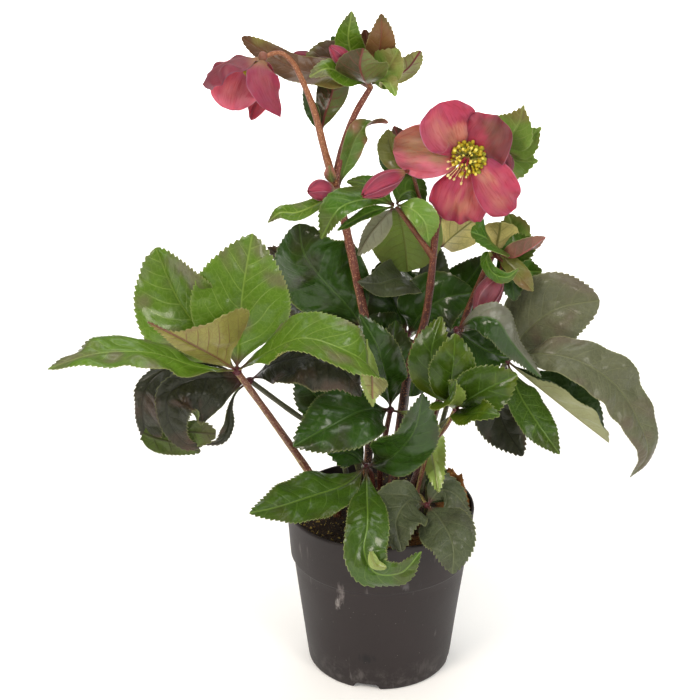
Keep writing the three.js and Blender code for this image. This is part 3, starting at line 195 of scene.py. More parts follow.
class Finish(Trees):
    # a material under construction, with one Principled surface
    def __init__(self, name, **constants):
        self.material = bpy.data.materials.new(name)
        self.material.use_nodes = True
        super().__init__(self.material.node_tree)
        self.tree.nodes.clear()
        self.surface = self.tree.nodes.new("ShaderNodeBsdfPrincipled")
        output = self.tree.nodes.new("ShaderNodeOutputMaterial")
        self.tree.links.new(self.surface.outputs[0], output.inputs["Surface"])
        self.set(**constants)

    def set(self, **values):
        # socket names in camelCase: baseColor, coatWeight ...
        for key, value in values.items():
            words = re.sub("(?<=[a-z])(?=[A-Z])", " ", key).replace("IORLevel", "IOR Level")
            self.plug(value, self.surface.inputs[words[0].upper() + words[1:]])

    def attribute(self, name, output="Vector"):
        return self.node("ShaderNodeAttribute", {"attribute_name": name}, None, output)

    def noise(self, place, scale, detail=2.0, roughness=0.5):
        return self.node("ShaderNodeTexNoise", None, {
            "Vector": place, "Scale": scale, "Detail": detail, "Roughness": roughness})

    def cells(self, place, scale, feature="F1"):
        return self.node("ShaderNodeTexVoronoi", {"feature": feature},
                         {"Vector": place, "Scale": scale}, "Distance")

    def rise(self, value, low, high):
        # 0 below low, 1 above high, smooth between
        return self.node("ShaderNodeMapRange", {"interpolation_type": "SMOOTHSTEP"},
                         {"Value": value, "From Min": low, "From Max": high})

    def mix(self, factor, first, second, blend="MIX"):
        return self.node("ShaderNodeMix", {"data_type": "RGBA", "blend_type": blend},
                         {"Factor_Float": factor, "A_Color": first, "B_Color": second},
                         "Result_Color")

    def bright(self, colour, amount):
        return self.scaled(colour[:3] if isinstance(colour, tuple) else colour, amount)

    def ramp(self, value, stops):
        # stops: a share of the way and the colour there, in order
        made = self.node("ShaderNodeValToRGB", None, {0: value}, "Color")
        elements = made.socket.node.color_ramp.elements
        while len(elements) < len(stops):
            elements.new(0.5)
        for element, (at, code) in zip(elements, stops):
            element.position = at
            element.color = linearColour(code)
        return made

    def relief(self, height, distance, strength=1.0):
        self.set(normal=self.node("ShaderNodeBump", None, {
            "Strength": strength, "Distance": distance, "Height": height}))

    def places(self):
        # the object's own coordinates in millimetres
        return self.scaled(self.node("ShaderNodeTexCoord", None, None, "Object"), 1 / millimetre)


class Pattern(Trees):
    # a Geometry Nodes tree under construction, with named inputs
    def __init__(self, name, **inputs):
        super().__init__(bpy.data.node_groups.new(name, "GeometryNodeTree"))
        sockets = self.tree.interface
        sockets.new_socket("Geometry", in_out="INPUT", socket_type="NodeSocketGeometry")
        self.given = {label: sockets.new_socket(label, in_out="INPUT", socket_type="NodeSocket" + kind)
                      for label, kind in inputs.items()}
        sockets.new_socket("Geometry", in_out="OUTPUT", socket_type="NodeSocketGeometry")
        self.start = self.tree.nodes.new("NodeGroupInput")

    def entry(self, label):
        return Wire(self, findSocket(self.start.outputs, label))

    def finish(self, shape):
        real = self.node("GeometryNodeRealizeInstances", None, {"Geometry": shape})
        smooth = self.node("GeometryNodeSetShadeSmooth", None, {"Geometry": real})
        dressed = self.node("GeometryNodeSetMaterial", None, {
            "Geometry": smooth, "Material": self.entry("Finish")})
        end = self.tree.nodes.new("NodeGroupOutput")
        self.tree.links.new(dressed.socket, end.inputs[0])

    def grow(self, base, **values):
        # runs the tree on base, and returns the result as a plain mesh; base is used up
        modifier = base.modifiers.new("pattern", "NODES")
        modifier.node_group = self.tree
        for label, value in values.items():
            modifier[self.given[label].identifier] = value
        view = bpy.context.evaluated_depsgraph_get()
        mesh = bpy.data.meshes.new_from_object(base.evaluated_get(view),
                                               preserve_all_data_layers=True, depsgraph=view)
        base.modifiers.remove(modifier)
        bpy.data.objects.remove(base)
        return mesh


# Meshes

def makeMesh(name, points, faces, finish=None, sharp=None):
    # points in millimetres
    mesh = bpy.data.meshes.new(name)
    mesh.from_pydata((np.asarray(points) * millimetre).tolist(), [], [tuple(f) for f in faces])
    mesh.update()
    mesh.polygons.foreach_set("use_smooth", [True] * len(mesh.polygons))
    if sharp:
        mesh.set_sharp_from_angle(angle=math.radians(sharp))
    if finish:
        mesh.materials.append(finish.material)
    return mesh


def setAttribute(mesh, name, values, kind="FLOAT_VECTOR"):
    field = {"FLOAT_VECTOR": "vector", "FLOAT_COLOR": "color", "FLOAT": "value"}[kind]
    layer = mesh.attributes.new(name, kind, "POINT")
    layer.data.foreach_set(field, np.asarray(values, np.float32).ravel())


def keepPiece(name, mesh, node):
    piece = addObject(name, mesh)
    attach(piece, "root")
    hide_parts(node)
    return piece


class Heap:
    # collects shapes that are one piece, with their attributes
    def __init__(self):
        self.points, self.faces, self.layers, self.count = [], [], {}, 0

    def add(self, points, faces, **layers):
        # faces: blocks of quads or of triangles
        self.points.append(np.asarray(points))
        self.faces += [block + self.count for block in faces]
        self.count += len(points)
        for key, values in layers.items():
            spread = np.broadcast_to(values, (len(points), np.shape(values)[-1]))
            self.layers.setdefault(key, []).append(spread)

    def mesh(self, name, finish, sharp=None):
        faces = [tuple(f) for block in self.faces for f in block.tolist()]
        mesh = makeMesh(name, np.vstack(self.points), faces, finish, sharp)
        for key, blocks in self.layers.items():
            values = np.vstack(blocks)
            setAttribute(mesh, key, values, "FLOAT_COLOR" if values.shape[1] == 4 else "FLOAT_VECTOR")
        return mesh

    def keep(self, name, node, finish, sharp=None):
        keepPiece(name, self.mesh(name, finish, sharp), node)


def smoothStep(x, low, high):
    t = np.clip((x - low) / (high - low), 0, 1)
    return t * t * (3 - 2 * t)


def unit(v):
    return v / np.maximum(np.linalg.norm(v, axis=-1, keepdims=True), 1e-9)


def blend(first, second, share):
    return np.asarray(first) * (1 - share) + np.asarray(second) * share


def ripple(points, size, seed, waves=7):
    # a smooth uneven value between about -1 and 1 at each point
    draw = np.random.default_rng(seed)
    total = np.zeros(points.shape[:-1])
    for _ in range(waves):
        turn = unit(draw.normal(size=points.shape[-1])) * 2 * math.pi / (size * draw.uniform(0.7, 1.6))
        total += np.sin(points @ turn + draw.uniform(0, 2 * math.pi))
    return total / waves ** 0.5


def curveThrough(stops, perSpan=60):
    # a smooth line through the stops, and how far along it each of its points lies
    p = np.array(stops, float)
    p = np.vstack([2 * p[0] - p[1], p, 2 * p[-1] - p[-2]])
    u = np.linspace(0, 1, perSpan, endpoint=False)[:, None]
    line = []
    for i in range(1, len(p) - 2):
        a, b, c, d = p[i - 1:i + 3]
        ab, bc, cd = (math.sqrt(max(np.linalg.norm(q), 1e-6)) for q in (b - a, c - b, d - c))
        leave = ((b - a) / ab - (c - a) / (ab + bc) + (c - b) / bc) * bc
        reach = ((c - b) / bc - (d - b) / (bc + cd) + (d - c) / cd) * bc
        line.append((2 * u ** 3 - 3 * u ** 2 + 1) * b + (u ** 3 - 2 * u ** 2 + u) * leave
                    + (3 * u ** 2 - 2 * u ** 3) * c + (u ** 3 - u ** 2) * reach)
    line = np.vstack(line + [p[-2:-1]])
    steps = np.linalg.norm(np.diff(line, axis=0), axis=1)
    return line, np.concatenate([[0], np.cumsum(steps)])


def placesAlong(stops, shares):
    # the places at these shares of a smooth line, the line's direction there, and its length
    line, reach = curveThrough(stops)
    at = np.asarray(shares) * reach[-1]

    def read(distance):
        return np.stack([np.interp(distance, reach, line[:, k]) for k in range(3)], 1)

    span = 0.4
    ahead, behind = read(np.minimum(at + span, reach[-1])), read(np.maximum(at - span, 0))
    return read(at), unit(ahead - behind), reach[-1]


# Leaves and bracts

def laminaTone(upper, under, vein, underVein, blush, cloud, other=None):
    # its upper side, its under side, the veins on each, and the blush that clouds it, mostly towards
    # its tip and margin; other is its second half, on both sides, which on the folded dark leaflet is a
    # painted sheen
    tone = dict(upper=upper, under=under, vein=vein, underVein=underVein, blush=blush, cloud=cloud)
    return {**tone, "other": other} if other else tone


tones = {
    "fresh": laminaTone("4c6a18", "8f9352", "a2ba5c", "6d2f34", "605a44", 0.8),
    "back": laminaTone("4e6a1c", "7c783d", "9cb85c", "5c2228", "745044", 0.8),
    "mid": laminaTone("375214", "8f9556", "7a9a42", "8a8450", "434420", 0.5),
    "green": laminaTone("3a5c14", "8f9556", "80a048", "8a8450", "4a4b24", 0.6),
    "lime": laminaTone("668236", "a0a468", "98ac5c", "8f8c5a", "7c6a44", 0.7),
    "straw": laminaTone("9aa552", "c8be78", "a8b068", "8e8c4c", "a08c5c", 0.5),
    "dark": laminaTone("243f0c", "5a6636", "4c6c28", "5a5c34", "2c2818", 0.6),
    "young": laminaTone("2d4307", "7a8e40", "5c8028", "8a9450", "4c580c", 0.6),
    "old": laminaTone("292c1e", "4a5a28", "20211a", "3c4024", "46362c", 0.8),
    "ash": laminaTone("555842", "7c7e5a", "6f7450", "6f6a4a", "584a40", 0.6),
    "slate": laminaTone("454d36", "7c7e66", "697050", "6c6a54", "3a3b2e", 0.6),
    "folded": laminaTone("263e14", "a0a378", "54703a", "8f8f66", "30311c", 0.3),
    # its second half is a painted grey sheen, where light glances off the fold
    "veiled": laminaTone("213a0c", "5c6040", "44622a", "827e68", "4a463a", 0.4, other="66675a"),
    "cupped": laminaTone("3c4a20", "38361c", "5a5a30", "6a3a30", "4c3c2a", 0.5, other="566030"),
    "pale": laminaTone("5a7a2c", "7e9448", "90a856", "74803c", "807644", 0.4),
    "olive": laminaTone("62662e", "75703e", "86854e", "70523a", "6d4e38", 0.7),
    "brown": laminaTone("714c32", "684632", "8e6a4c", "643a32", "5c4a2c", 0.7),
    "amber": laminaTone("6c4e2e", "704f34", "74382c", "803a32", "4c4a20", 0.7),
    "umber": laminaTone("40301e", "40301e", "683e30", "563228", "545028", 0.9),
    "bronze": laminaTone("553c28", "3e2a20", "6a4630", "5c3428", "6c6232", 1.3),
    "blushed": laminaTone("4e6828", "5e4636", "7a904c", "864a46", "865a4a", 1.3),
}
# The foot of every leaflet and bract, and the thin pale line along its margin, partly a painted highlight on
# the edge.
hubTint = "4f2228"
marginLineAndHighlight = "a9b070"

# How a kind of blade is drawn where its own entry says nothing else; a loose one is a turned-over part.
bladeUsual = dict(peak=0.5, wave=1.0, curl=0, base=0.9, tip=0.35, camber=0.03, tooth=0, buckle=1.9,
                  buckleSize=27, frill=0.5, toothStep=2.7, veinStep=10.5, quilt=0.5, thickness=0.5,
                  groove=0.45, ridge=0.8, pleat=0, loose=False)
leafletForm = dict(fullness=0.86, wedge=0.3, tooth=1.3)
bractForm = dict(fullness=0.8, wedge=0.25, tooth=0.5, veinStep=7, quilt=0.3, buckle=0.7, frill=0.3,
                 groove=0.25, ridge=0.45)
wrinkled = dict(quilt=1.0, buckle=2.6)
# A blade begins this far into its hub, as a share of the hub's radius; a leaf's hub is so many
# millimetres thicker than its stalk.
hubInset = 0.65
hubWall = 1.3
# A tooth's rise from notch to point; how deep teeth of size one are cut, between which shares of that
# each tooth is drawn, how far they lean forward, and from which share of the width they begin.
toothProfile = np.array([0, 0.6, 1.0])
toothLook = dict(cut=0.62, depths=(0.6, 1.3), lean=0.45, begin=0.86)
# Waves along the margin, the sizes of frills and pleats, and how side veins lean, bow and drift.
bladeWaves = dict(swing=9, halfShift=2.1, frillSize=11, pleatSize=8, veinLean=0.8, veinBow=0.01,
                  veinDrift=1.9, driftSize=34)
sharpAngle = 55
bladeMesh = dict(rowShare=0.95, leastTeeth=8, columnWidth=4.4, moreColumns=3, columns=(5, 13))
# Every blade reads the noise of its finish at a place of its own, so many millimetres further on.
patternShift = 173
patternPlaces = 53


def blade(tone, rib, face, width, fold, **rest):
    # rib: the points it passes after its hub, or after start; a pair of values is one for each half
    return dict(tone=tone, rib=rib, face=face, width=width, fold=fold, **rest)


def bothHalves(value):
    return value if isinstance(value, tuple) else (value, value)


def fullShape(own, form, hub, hubRadius):
    # all that a blade needs: what is usual, then what its kind says, then what its own entry says
    shape = {**bladeUsual, **form, "inset": hubInset * hubRadius, **own}
    if own["tone"] == "old":
        shape.update(wrinkled)
    shape["rib"] = [shape.get("start", hub)] + shape["rib"]
    shape.setdefault("tipFold", shape["fold"])
    for key in ("width", "fold", "tipFold", "curl", "peak", "fullness"):
        shape[key] = bothHalves(shape[key])
    return shape


def bladeOutline(t, shape, half):
    # the share of its greatest width that one half has at t; the halves may peak in different places
    wedge = np.clip(0.2 + 0.8 * t / shape["wedge"], 0, 1)
    swell = np.sin(math.pi * t ** (math.log(0.5) / math.log(shape["peak"][half])))
    return wedge * np.clip(swell, 0, 1) ** shape["fullness"][half]


def halfSection(fold, curl, s):
    # how far out and how far up a half lies at share s, for a half one unit wide
    a, b = np.radians(fold), math.radians(curl)
    if abs(b) < 1e-3:
        return s * np.cos(a), s * np.sin(a)
    return (np.sin(a + b * s) - np.sin(a)) / b, (np.cos(a) - np.cos(a + b * s)) / b


def acrossShares(half, columns):
    # near the rib by distance, then evenly to the edge, closer together at the teeth
    near = [np.minimum(d / half, cap) for d, cap in ((0.8, 0.16), (1.9, 0.34))]
    rest = np.array([1 - (1 - k / columns) ** 1.25 for k in range(1, columns)] + [1.0])
    outer = near[1][:, None] + (1 - near[1])[:, None] * rest[None, :]
    return np.column_stack([near[0], near[1], outer])


def ribFrame(shape, share):
    # the rib's places, its direction, the way to the blade's side and the way its upper side faces
    centre, along, _ = placesAlong(shape["rib"], share)
    facing = np.array(shape["face"], float)
    stops = np.linspace(0, 1, len(facing))
    grown = (share - share[0]) / (share[-1] - share[0])
    turn = np.stack([np.interp(grown, stops, facing[:, k]) for k in range(3)], 1)
    side = unit(np.cross(along, turn))
    return centre, along, side, unit(np.cross(side, along))


def marginTeeth(shape, t, s, teeth, draw):
    # forward-pointing teeth: how far the edge is cut, and how far it is drawn forward
    grow = smoothStep(t, 0.1, 0.3) * (1 - smoothStep(t, 0.96, 1))
    step = np.arange(len(t))
    per = len(toothProfile)
    depth = draw.uniform(*toothLook["depths"], (2, teeth + 1))[:, step // per] * grow
    tooth = np.where(s > 0, depth[1][:, None], depth[0][:, None]) * shape["tooth"] * toothLook["cut"]
    profile = toothProfile[step % per][:, None]
    edge = smoothStep(np.abs(s), toothLook["begin"], 1)
    forward = toothLook["lean"] * shape["toothStep"] * profile * edge * np.minimum(tooth / 0.6, 1)
    return tooth * (1.2 * profile - 0.45) * edge, forward


def bladeHalves(shape, t):
    # how wide each half is along the blade
    least = blend(shape["base"], shape["tip"], t)
    return [np.maximum(least, 0.5 * shape["width"][k] * bladeOutline(t, shape, k)) for k in (0, 1)]


def foldedSection(shape, t, s):
    # how far out and how far up each place lies, for halves one unit wide
    bend = smoothStep(t, 0.1, 0.8)[:, None]
    out, lift = np.zeros_like(s), np.zeros_like(s)
    for k, chosen in ((0, s < 0), (1, s >= 0)):
        fold = blend(shape["fold"][k], shape["tipFold"][k], bend)
        halfOut, halfLift = halfSection(fold, shape["curl"][k], np.abs(s))
        out, lift = np.where(chosen, halfOut, out), np.where(chosen, halfLift, lift)
    return out, lift


def bladeSway(shape, t, place, s, half, seed):
    # waves and frills along the margin, broad buckles, pleats along the rib and a camber across
    size, widest = np.abs(s), max(shape["width"])
    outline = half / (0.5 * widest)
    shift = np.where(s < 0, 0, bladeWaves["halfShift"])
    swing = np.sin(t[:, None] * bladeWaves["swing"] + shift + widest)
    sway = shape["wave"] * s * s * swing * outline
    sway += shape["frill"] * size ** 4 * ripple(place, bladeWaves["frillSize"], seed + 1) * outline
    free = smoothStep(np.abs(place[..., 1]), 1, 11) * smoothStep(t, 0.05, 0.3)[:, None]
    sway += shape["buckle"] * ripple(place, shape["buckleSize"], seed + 2) * free
    pleats = ripple(place * [0.22, 1], bladeWaves["pleatSize"], seed + 6)
    sway += shape["pleat"] * pleats * smoothStep(t, 0.1, 0.5)[:, None]
    sway += shape["camber"] * half * np.sin(math.pi * size)
    return sway


def veinPuckers(shape, place, s, seed):
    # the phase of the side veins, and how far the sheet puckers up between them
    across = np.abs(place[..., 1])
    drift = bladeWaves["veinDrift"] * ripple(place, bladeWaves["driftSize"], seed + 3)
    phase = place[..., 0] - bladeWaves["veinLean"] * across - bladeWaves["veinBow"] * across ** 2 + drift
    phase = phase / shape["veinStep"] + 0.5 * (s > 0)
    pucker = shape["quilt"] * (np.abs(np.sin(math.pi * phase)) ** 0.7 - 0.55)
    return phase, pucker * smoothStep(across, 0.5, 4) * (1 - np.abs(s) ** 4)


def bladeGrid(shape, seed):
    # the middle sheet of a blade: its points, where each lies on it, and the phase of its side veins
    length = curveThrough(shape["rib"])[1][-1]
    teeth = max(bladeMesh["leastTeeth"], round(bladeMesh["rowShare"] * length / shape["toothStep"]))
    t = np.linspace(0, 1, len(toothProfile) * teeth + 1)
    share = blend(shape["inset"] / length, 1, t)
    centre, along, side, up = ribFrame(shape, share)
    halves = bladeHalves(shape, t)
    columns = round(max(shape["width"]) / bladeMesh["columnWidth"]) + bladeMesh["moreColumns"]
    shares = [acrossShares(half, int(np.clip(columns, *bladeMesh["columns"]))) for half in halves]
    s = np.column_stack([-shares[0][:, ::-1], np.zeros(len(t)), shares[1]])
    half = np.where(s < 0, halves[0][:, None], halves[1][:, None])
    place = np.stack([share[:, None] * length + 0 * s, s * half], -1)
    cut, forward = marginTeeth(shape, t, s, teeth, np.random.default_rng(seed))
    out, lift = foldedSection(shape, t, s)
    phase, pucker = veinPuckers(shape, place, s, seed)
    rise = lift * half + (bladeSway(shape, t, place, s, half, seed) + pucker)
    sideways = np.sign(s) * (out * half + cut)
    points = (centre[:, None] + side[:, None] * sideways[..., None] + up[:, None] * rise[..., None]
              + along[:, None] * forward[..., None])
    start = patternShift * (seed % patternPlaces)
    return points, np.stack([place[..., 0] + start, place[..., 1], s], -1), phase, t


def sheetNormals(grid):
    return unit(np.cross(np.gradient(grid, axis=1), np.gradient(grid, axis=0)))


def sheetFaces(rows, columns):
    # quads of a closed sheet: its upper side, its lower side and its rim
    at = np.arange(rows * columns).reshape(rows, columns)
    a, b, c, d = at[:-1, :-1], at[:-1, 1:], at[1:, 1:], at[1:, :-1]
    low = rows * columns
    top = np.stack([a, b, c, d], -1).reshape(-1, 4)
    under = np.stack([a, d, c, b], -1).reshape(-1, 4) + low

    def rim(line):
        p, q = line[:-1], line[1:]
        return np.stack([p, p + low, q + low, q], -1)

    around = [rim(at[:, -1]), rim(at[::-1, 0]), rim(at[0]), rim(at[-1, ::-1])]
    return [np.vstack([top, under] + around)]


def addBlade(heap, shape, seed, paint):
    grid, lamina, phase, t = bladeGrid(shape, seed)
    normal = sheetNormals(grid)
    across, share = lamina[..., 1], lamina[..., 2]
    stalklet = 0 if shape["loose"] else 1 - smoothStep(t, 0.01, 0.09)[:, None]
    thin = shape["thickness"] * (1 - 0.45 * np.abs(share) ** 3) + 1.1 * stalklet * (1 - share ** 2)
    fade = (1 - 0.75 * t)[:, None] * smoothStep(t, 0.02, 0.12)[:, None]
    groove = shape["groove"] * np.exp(-(across / 0.9) ** 2) * fade
    ridge = shape["ridge"] * np.exp(-(across / 0.8) ** 2) * fade
    upper = grid + normal * (thin / 2 - groove)[..., None]
    under = grid - normal * (thin / 2 + ridge)[..., None]
    rows, columns = share.shape
    flat = lamina.reshape(-1, 3)
    growth = [np.stack([phase.ravel(), np.full(phase.size, shape["veinStep"]), np.full(phase.size, up)], 1)
              for up in (1.0, 0.0)]
    heap.add(np.vstack([upper.reshape(-1, 3), under.reshape(-1, 3)]), sheetFaces(rows, columns),
             lamina=np.vstack([flat, flat]), growth=np.vstack(growth), **paint(t, lamina))


def laminaPaint(shape, seed):
    # the colours of a leaflet or bract, point by point
    tone = tones[shape["tone"]]
    ink = {key: inkOf(code) for key, code in tone.items() if key != "cloud"}
    draw = np.random.default_rng(seed + 7)
    lighter = draw.uniform(0.92, 1.1)
    hub, margin = inkOf(hubTint), inkOf(marginLineAndHighlight)

    def paint(t, lamina):
        share = lamina[..., 2]
        red = (1 - smoothStep(t, 0.02, 0.15))[:, None, None] * (1 - 0.5 * share[..., None] ** 2)
        red = red * (not shape["loose"])
        # the pale margin line, partly a painted highlight along the edge
        rim = smoothStep(np.abs(share), 0.95, 1)[..., None] * 0.3
        drift = ripple(lamina[..., :2], 34, seed + 4) + 0.5 * ripple(lamina[..., :2], 13, seed + 5)
        reach = 0.55 * smoothStep(t, 0.45, 1)[:, None] + 0.4 * np.abs(share) ** 2 + 0.5 * drift
        blush = (smoothStep(reach, 0.25, 1.25) * tone["cloud"])[..., None]
        sides, veins = [], []
        for key, vein in (("upper", "vein"), ("under", "underVein")):
            colour = np.broadcast_to(ink[key] * lighter, share.shape + (4,))
            # the second half's colour; on the folded dark leaflet, a painted sheen
            if "other" in ink:
                colour = blend(ink["other"] * lighter, colour, smoothStep(share, -0.12, 0.06)[..., None])
            colour = blend(colour, ink["blush"], blush * (1 if key == "upper" else 0.6))
            colour = blend(colour, margin, rim)
            sides.append(blend(colour, hub, red).reshape(-1, 4))
            tinted = blend(np.broadcast_to(ink[vein], share.shape + (4,)), ink["blush"], blush * 0.4)
            veins.append(blend(tinted, hub, red).reshape(-1, 4))
        return dict(tint=np.vstack(sides), veinTint=np.vstack(veins))
    return paint


def ringQuads(at):
    # quads between closed rings of points, where at numbers them ring by ring
    after = np.roll(at, -1, 1)
    return np.stack([at[:-1], at[1:], after[1:], after[:-1]], -1).reshape(-1, 4)


def cappedRings(rows, columns):
    # the faces of closed rings, capped to two points numbered after them: the top's, then the foot's
    at = np.arange(rows * columns).reshape(rows, columns)
    after = np.roll(at, -1, 1)
    top, foot = rows * columns, rows * columns + 1
    caps = [np.stack([np.full(columns, top), at[0], after[0]], -1),
            np.stack([np.full(columns, foot), after[-1], at[-1]], -1)]
    return [ringQuads(at), np.vstack(caps)]


def knob(centre, radius, seed, rows=12, columns=18):
    # a lumpy closed knob: its points, and its faces as quads and triangles
    tall = np.linspace(0, math.pi, rows + 1)[1:-1]
    turn = np.arange(columns) * 2 * math.pi / columns
    out = np.stack([np.sin(tall)[:, None] * np.cos(turn), np.sin(tall)[:, None] * np.sin(turn),
                    np.broadcast_to(np.cos(tall)[:, None], (rows - 1, columns))], -1).reshape(-1, 3)
    out = np.vstack([out, [[0, 0, 1], [0, 0, -1]]])
    points = np.asarray(centre) + radius * out * (1 + 0.07 * ripple(out, 1.1, seed))[:, None]
    return points, cappedRings(rows - 1, columns)


# What the finish reads on a hub: a place away from every vein, and a growth between the two sides.
hubPlace = dict(lamina=np.array([0, 60, 0.5]), growth=np.array([0.25, 8, 1]))


def addHub(heap, centre, radius, seed):
    points, faces = knob(centre, radius, seed)
    ink = inkOf(hubTint)
    heap.add(points, faces, **hubPlace, tint=ink, veinTint=ink)


def laminaFinish(name, rough, coat, net=0.3, side=0.6, middle=1.0, mottle=0.3, blister=0.5):
    # leathery lamina: pinnate veins, a fine net between them, mottling and a soft gloss
    leaf = Finish(name, coatWeight=coat, coatRoughness=0.17, specularIORLevel=0.15)
    along, across, share = leaf.parts(leaf.attribute("lamina"))
    phase, veinStep, upper = leaf.parts(leaf.attribute("growth"))
    patch = leaf.join(along, across, 0.0)
    out = abs(across)
    away = (0.5 - abs(leaf.maths("FRACT", phase) - 0.5)) * veinStep * 0.75
    taper = 1 - leaf.rise(abs(share), 0.45, 0.95)
    sideVein = (1 - leaf.rise(away, 0.08, 0.2 + 0.42 * taper)) * (0.35 + 0.65 * taper)
    midVein = (1 - leaf.rise(out, 0.3, 0.95)) * middle
    netVein = 1 - leaf.rise(leaf.cells(patch, 0.3, "DISTANCE_TO_EDGE"), 0.015, 0.1)
    veins = leaf.highest(leaf.highest(midVein, sideVein * side), netVein * net)
    mottled = leaf.noise(patch, 0.13, 3, 0.6)
    fine = leaf.noise(patch, 1.1, 3, 0.6)
    shade = 0.94 - mottle / 2 + mottle * mottled + 0.16 * fine
    colour = leaf.bright(leaf.attribute("tint", "Color"), shade)
    drawn = veins * (1.2 - 0.75 * upper) * (0.7 + 0.6 * mottled)
    colour = leaf.mix(drawn, colour, leaf.attribute("veinTint", "Color"))
    leaf.set(baseColor=colour, roughness=rough + 0.24 * (mottled - 0.5) + 0.12 * (fine - 0.5))
    puffed = leaf.node("ShaderNodeTexVoronoi", {"feature": "SMOOTH_F1"}, {
        "Vector": patch, "Scale": 0.3, "Smoothness": 0.6})
    facing = 1 - 2 * upper
    leaf.relief(veins * facing * 0.8 - puffed * blister + fine * 0.14, 0.00045, 0.9)
    return leaf


def addBlades(heap, name, blades, form, hub, hubRadius, seedStep):
    for k, own in enumerate(blades):
        shape = fullShape(own, form, hub, hubRadius)
        seed = sum(map(ord, name)) + seedStep * k
        addBlade(heap, shape, seed, laminaPaint(shape, seed))


def makeLeaf(name, leaf, finish):
    hub, hubRadius = leaf["stalk"][-1], leaf["stalkRadius"][1] + hubWall
    heap = Heap()
    addBlades(heap, name, leaf["blades"], leafletForm, hub, hubRadius, 31)
    addHub(heap, hub, hubRadius - 0.6, sum(map(ord, name)))
    heap.keep(name + "_leaflets", name + "_blades", finish, sharpAngle)


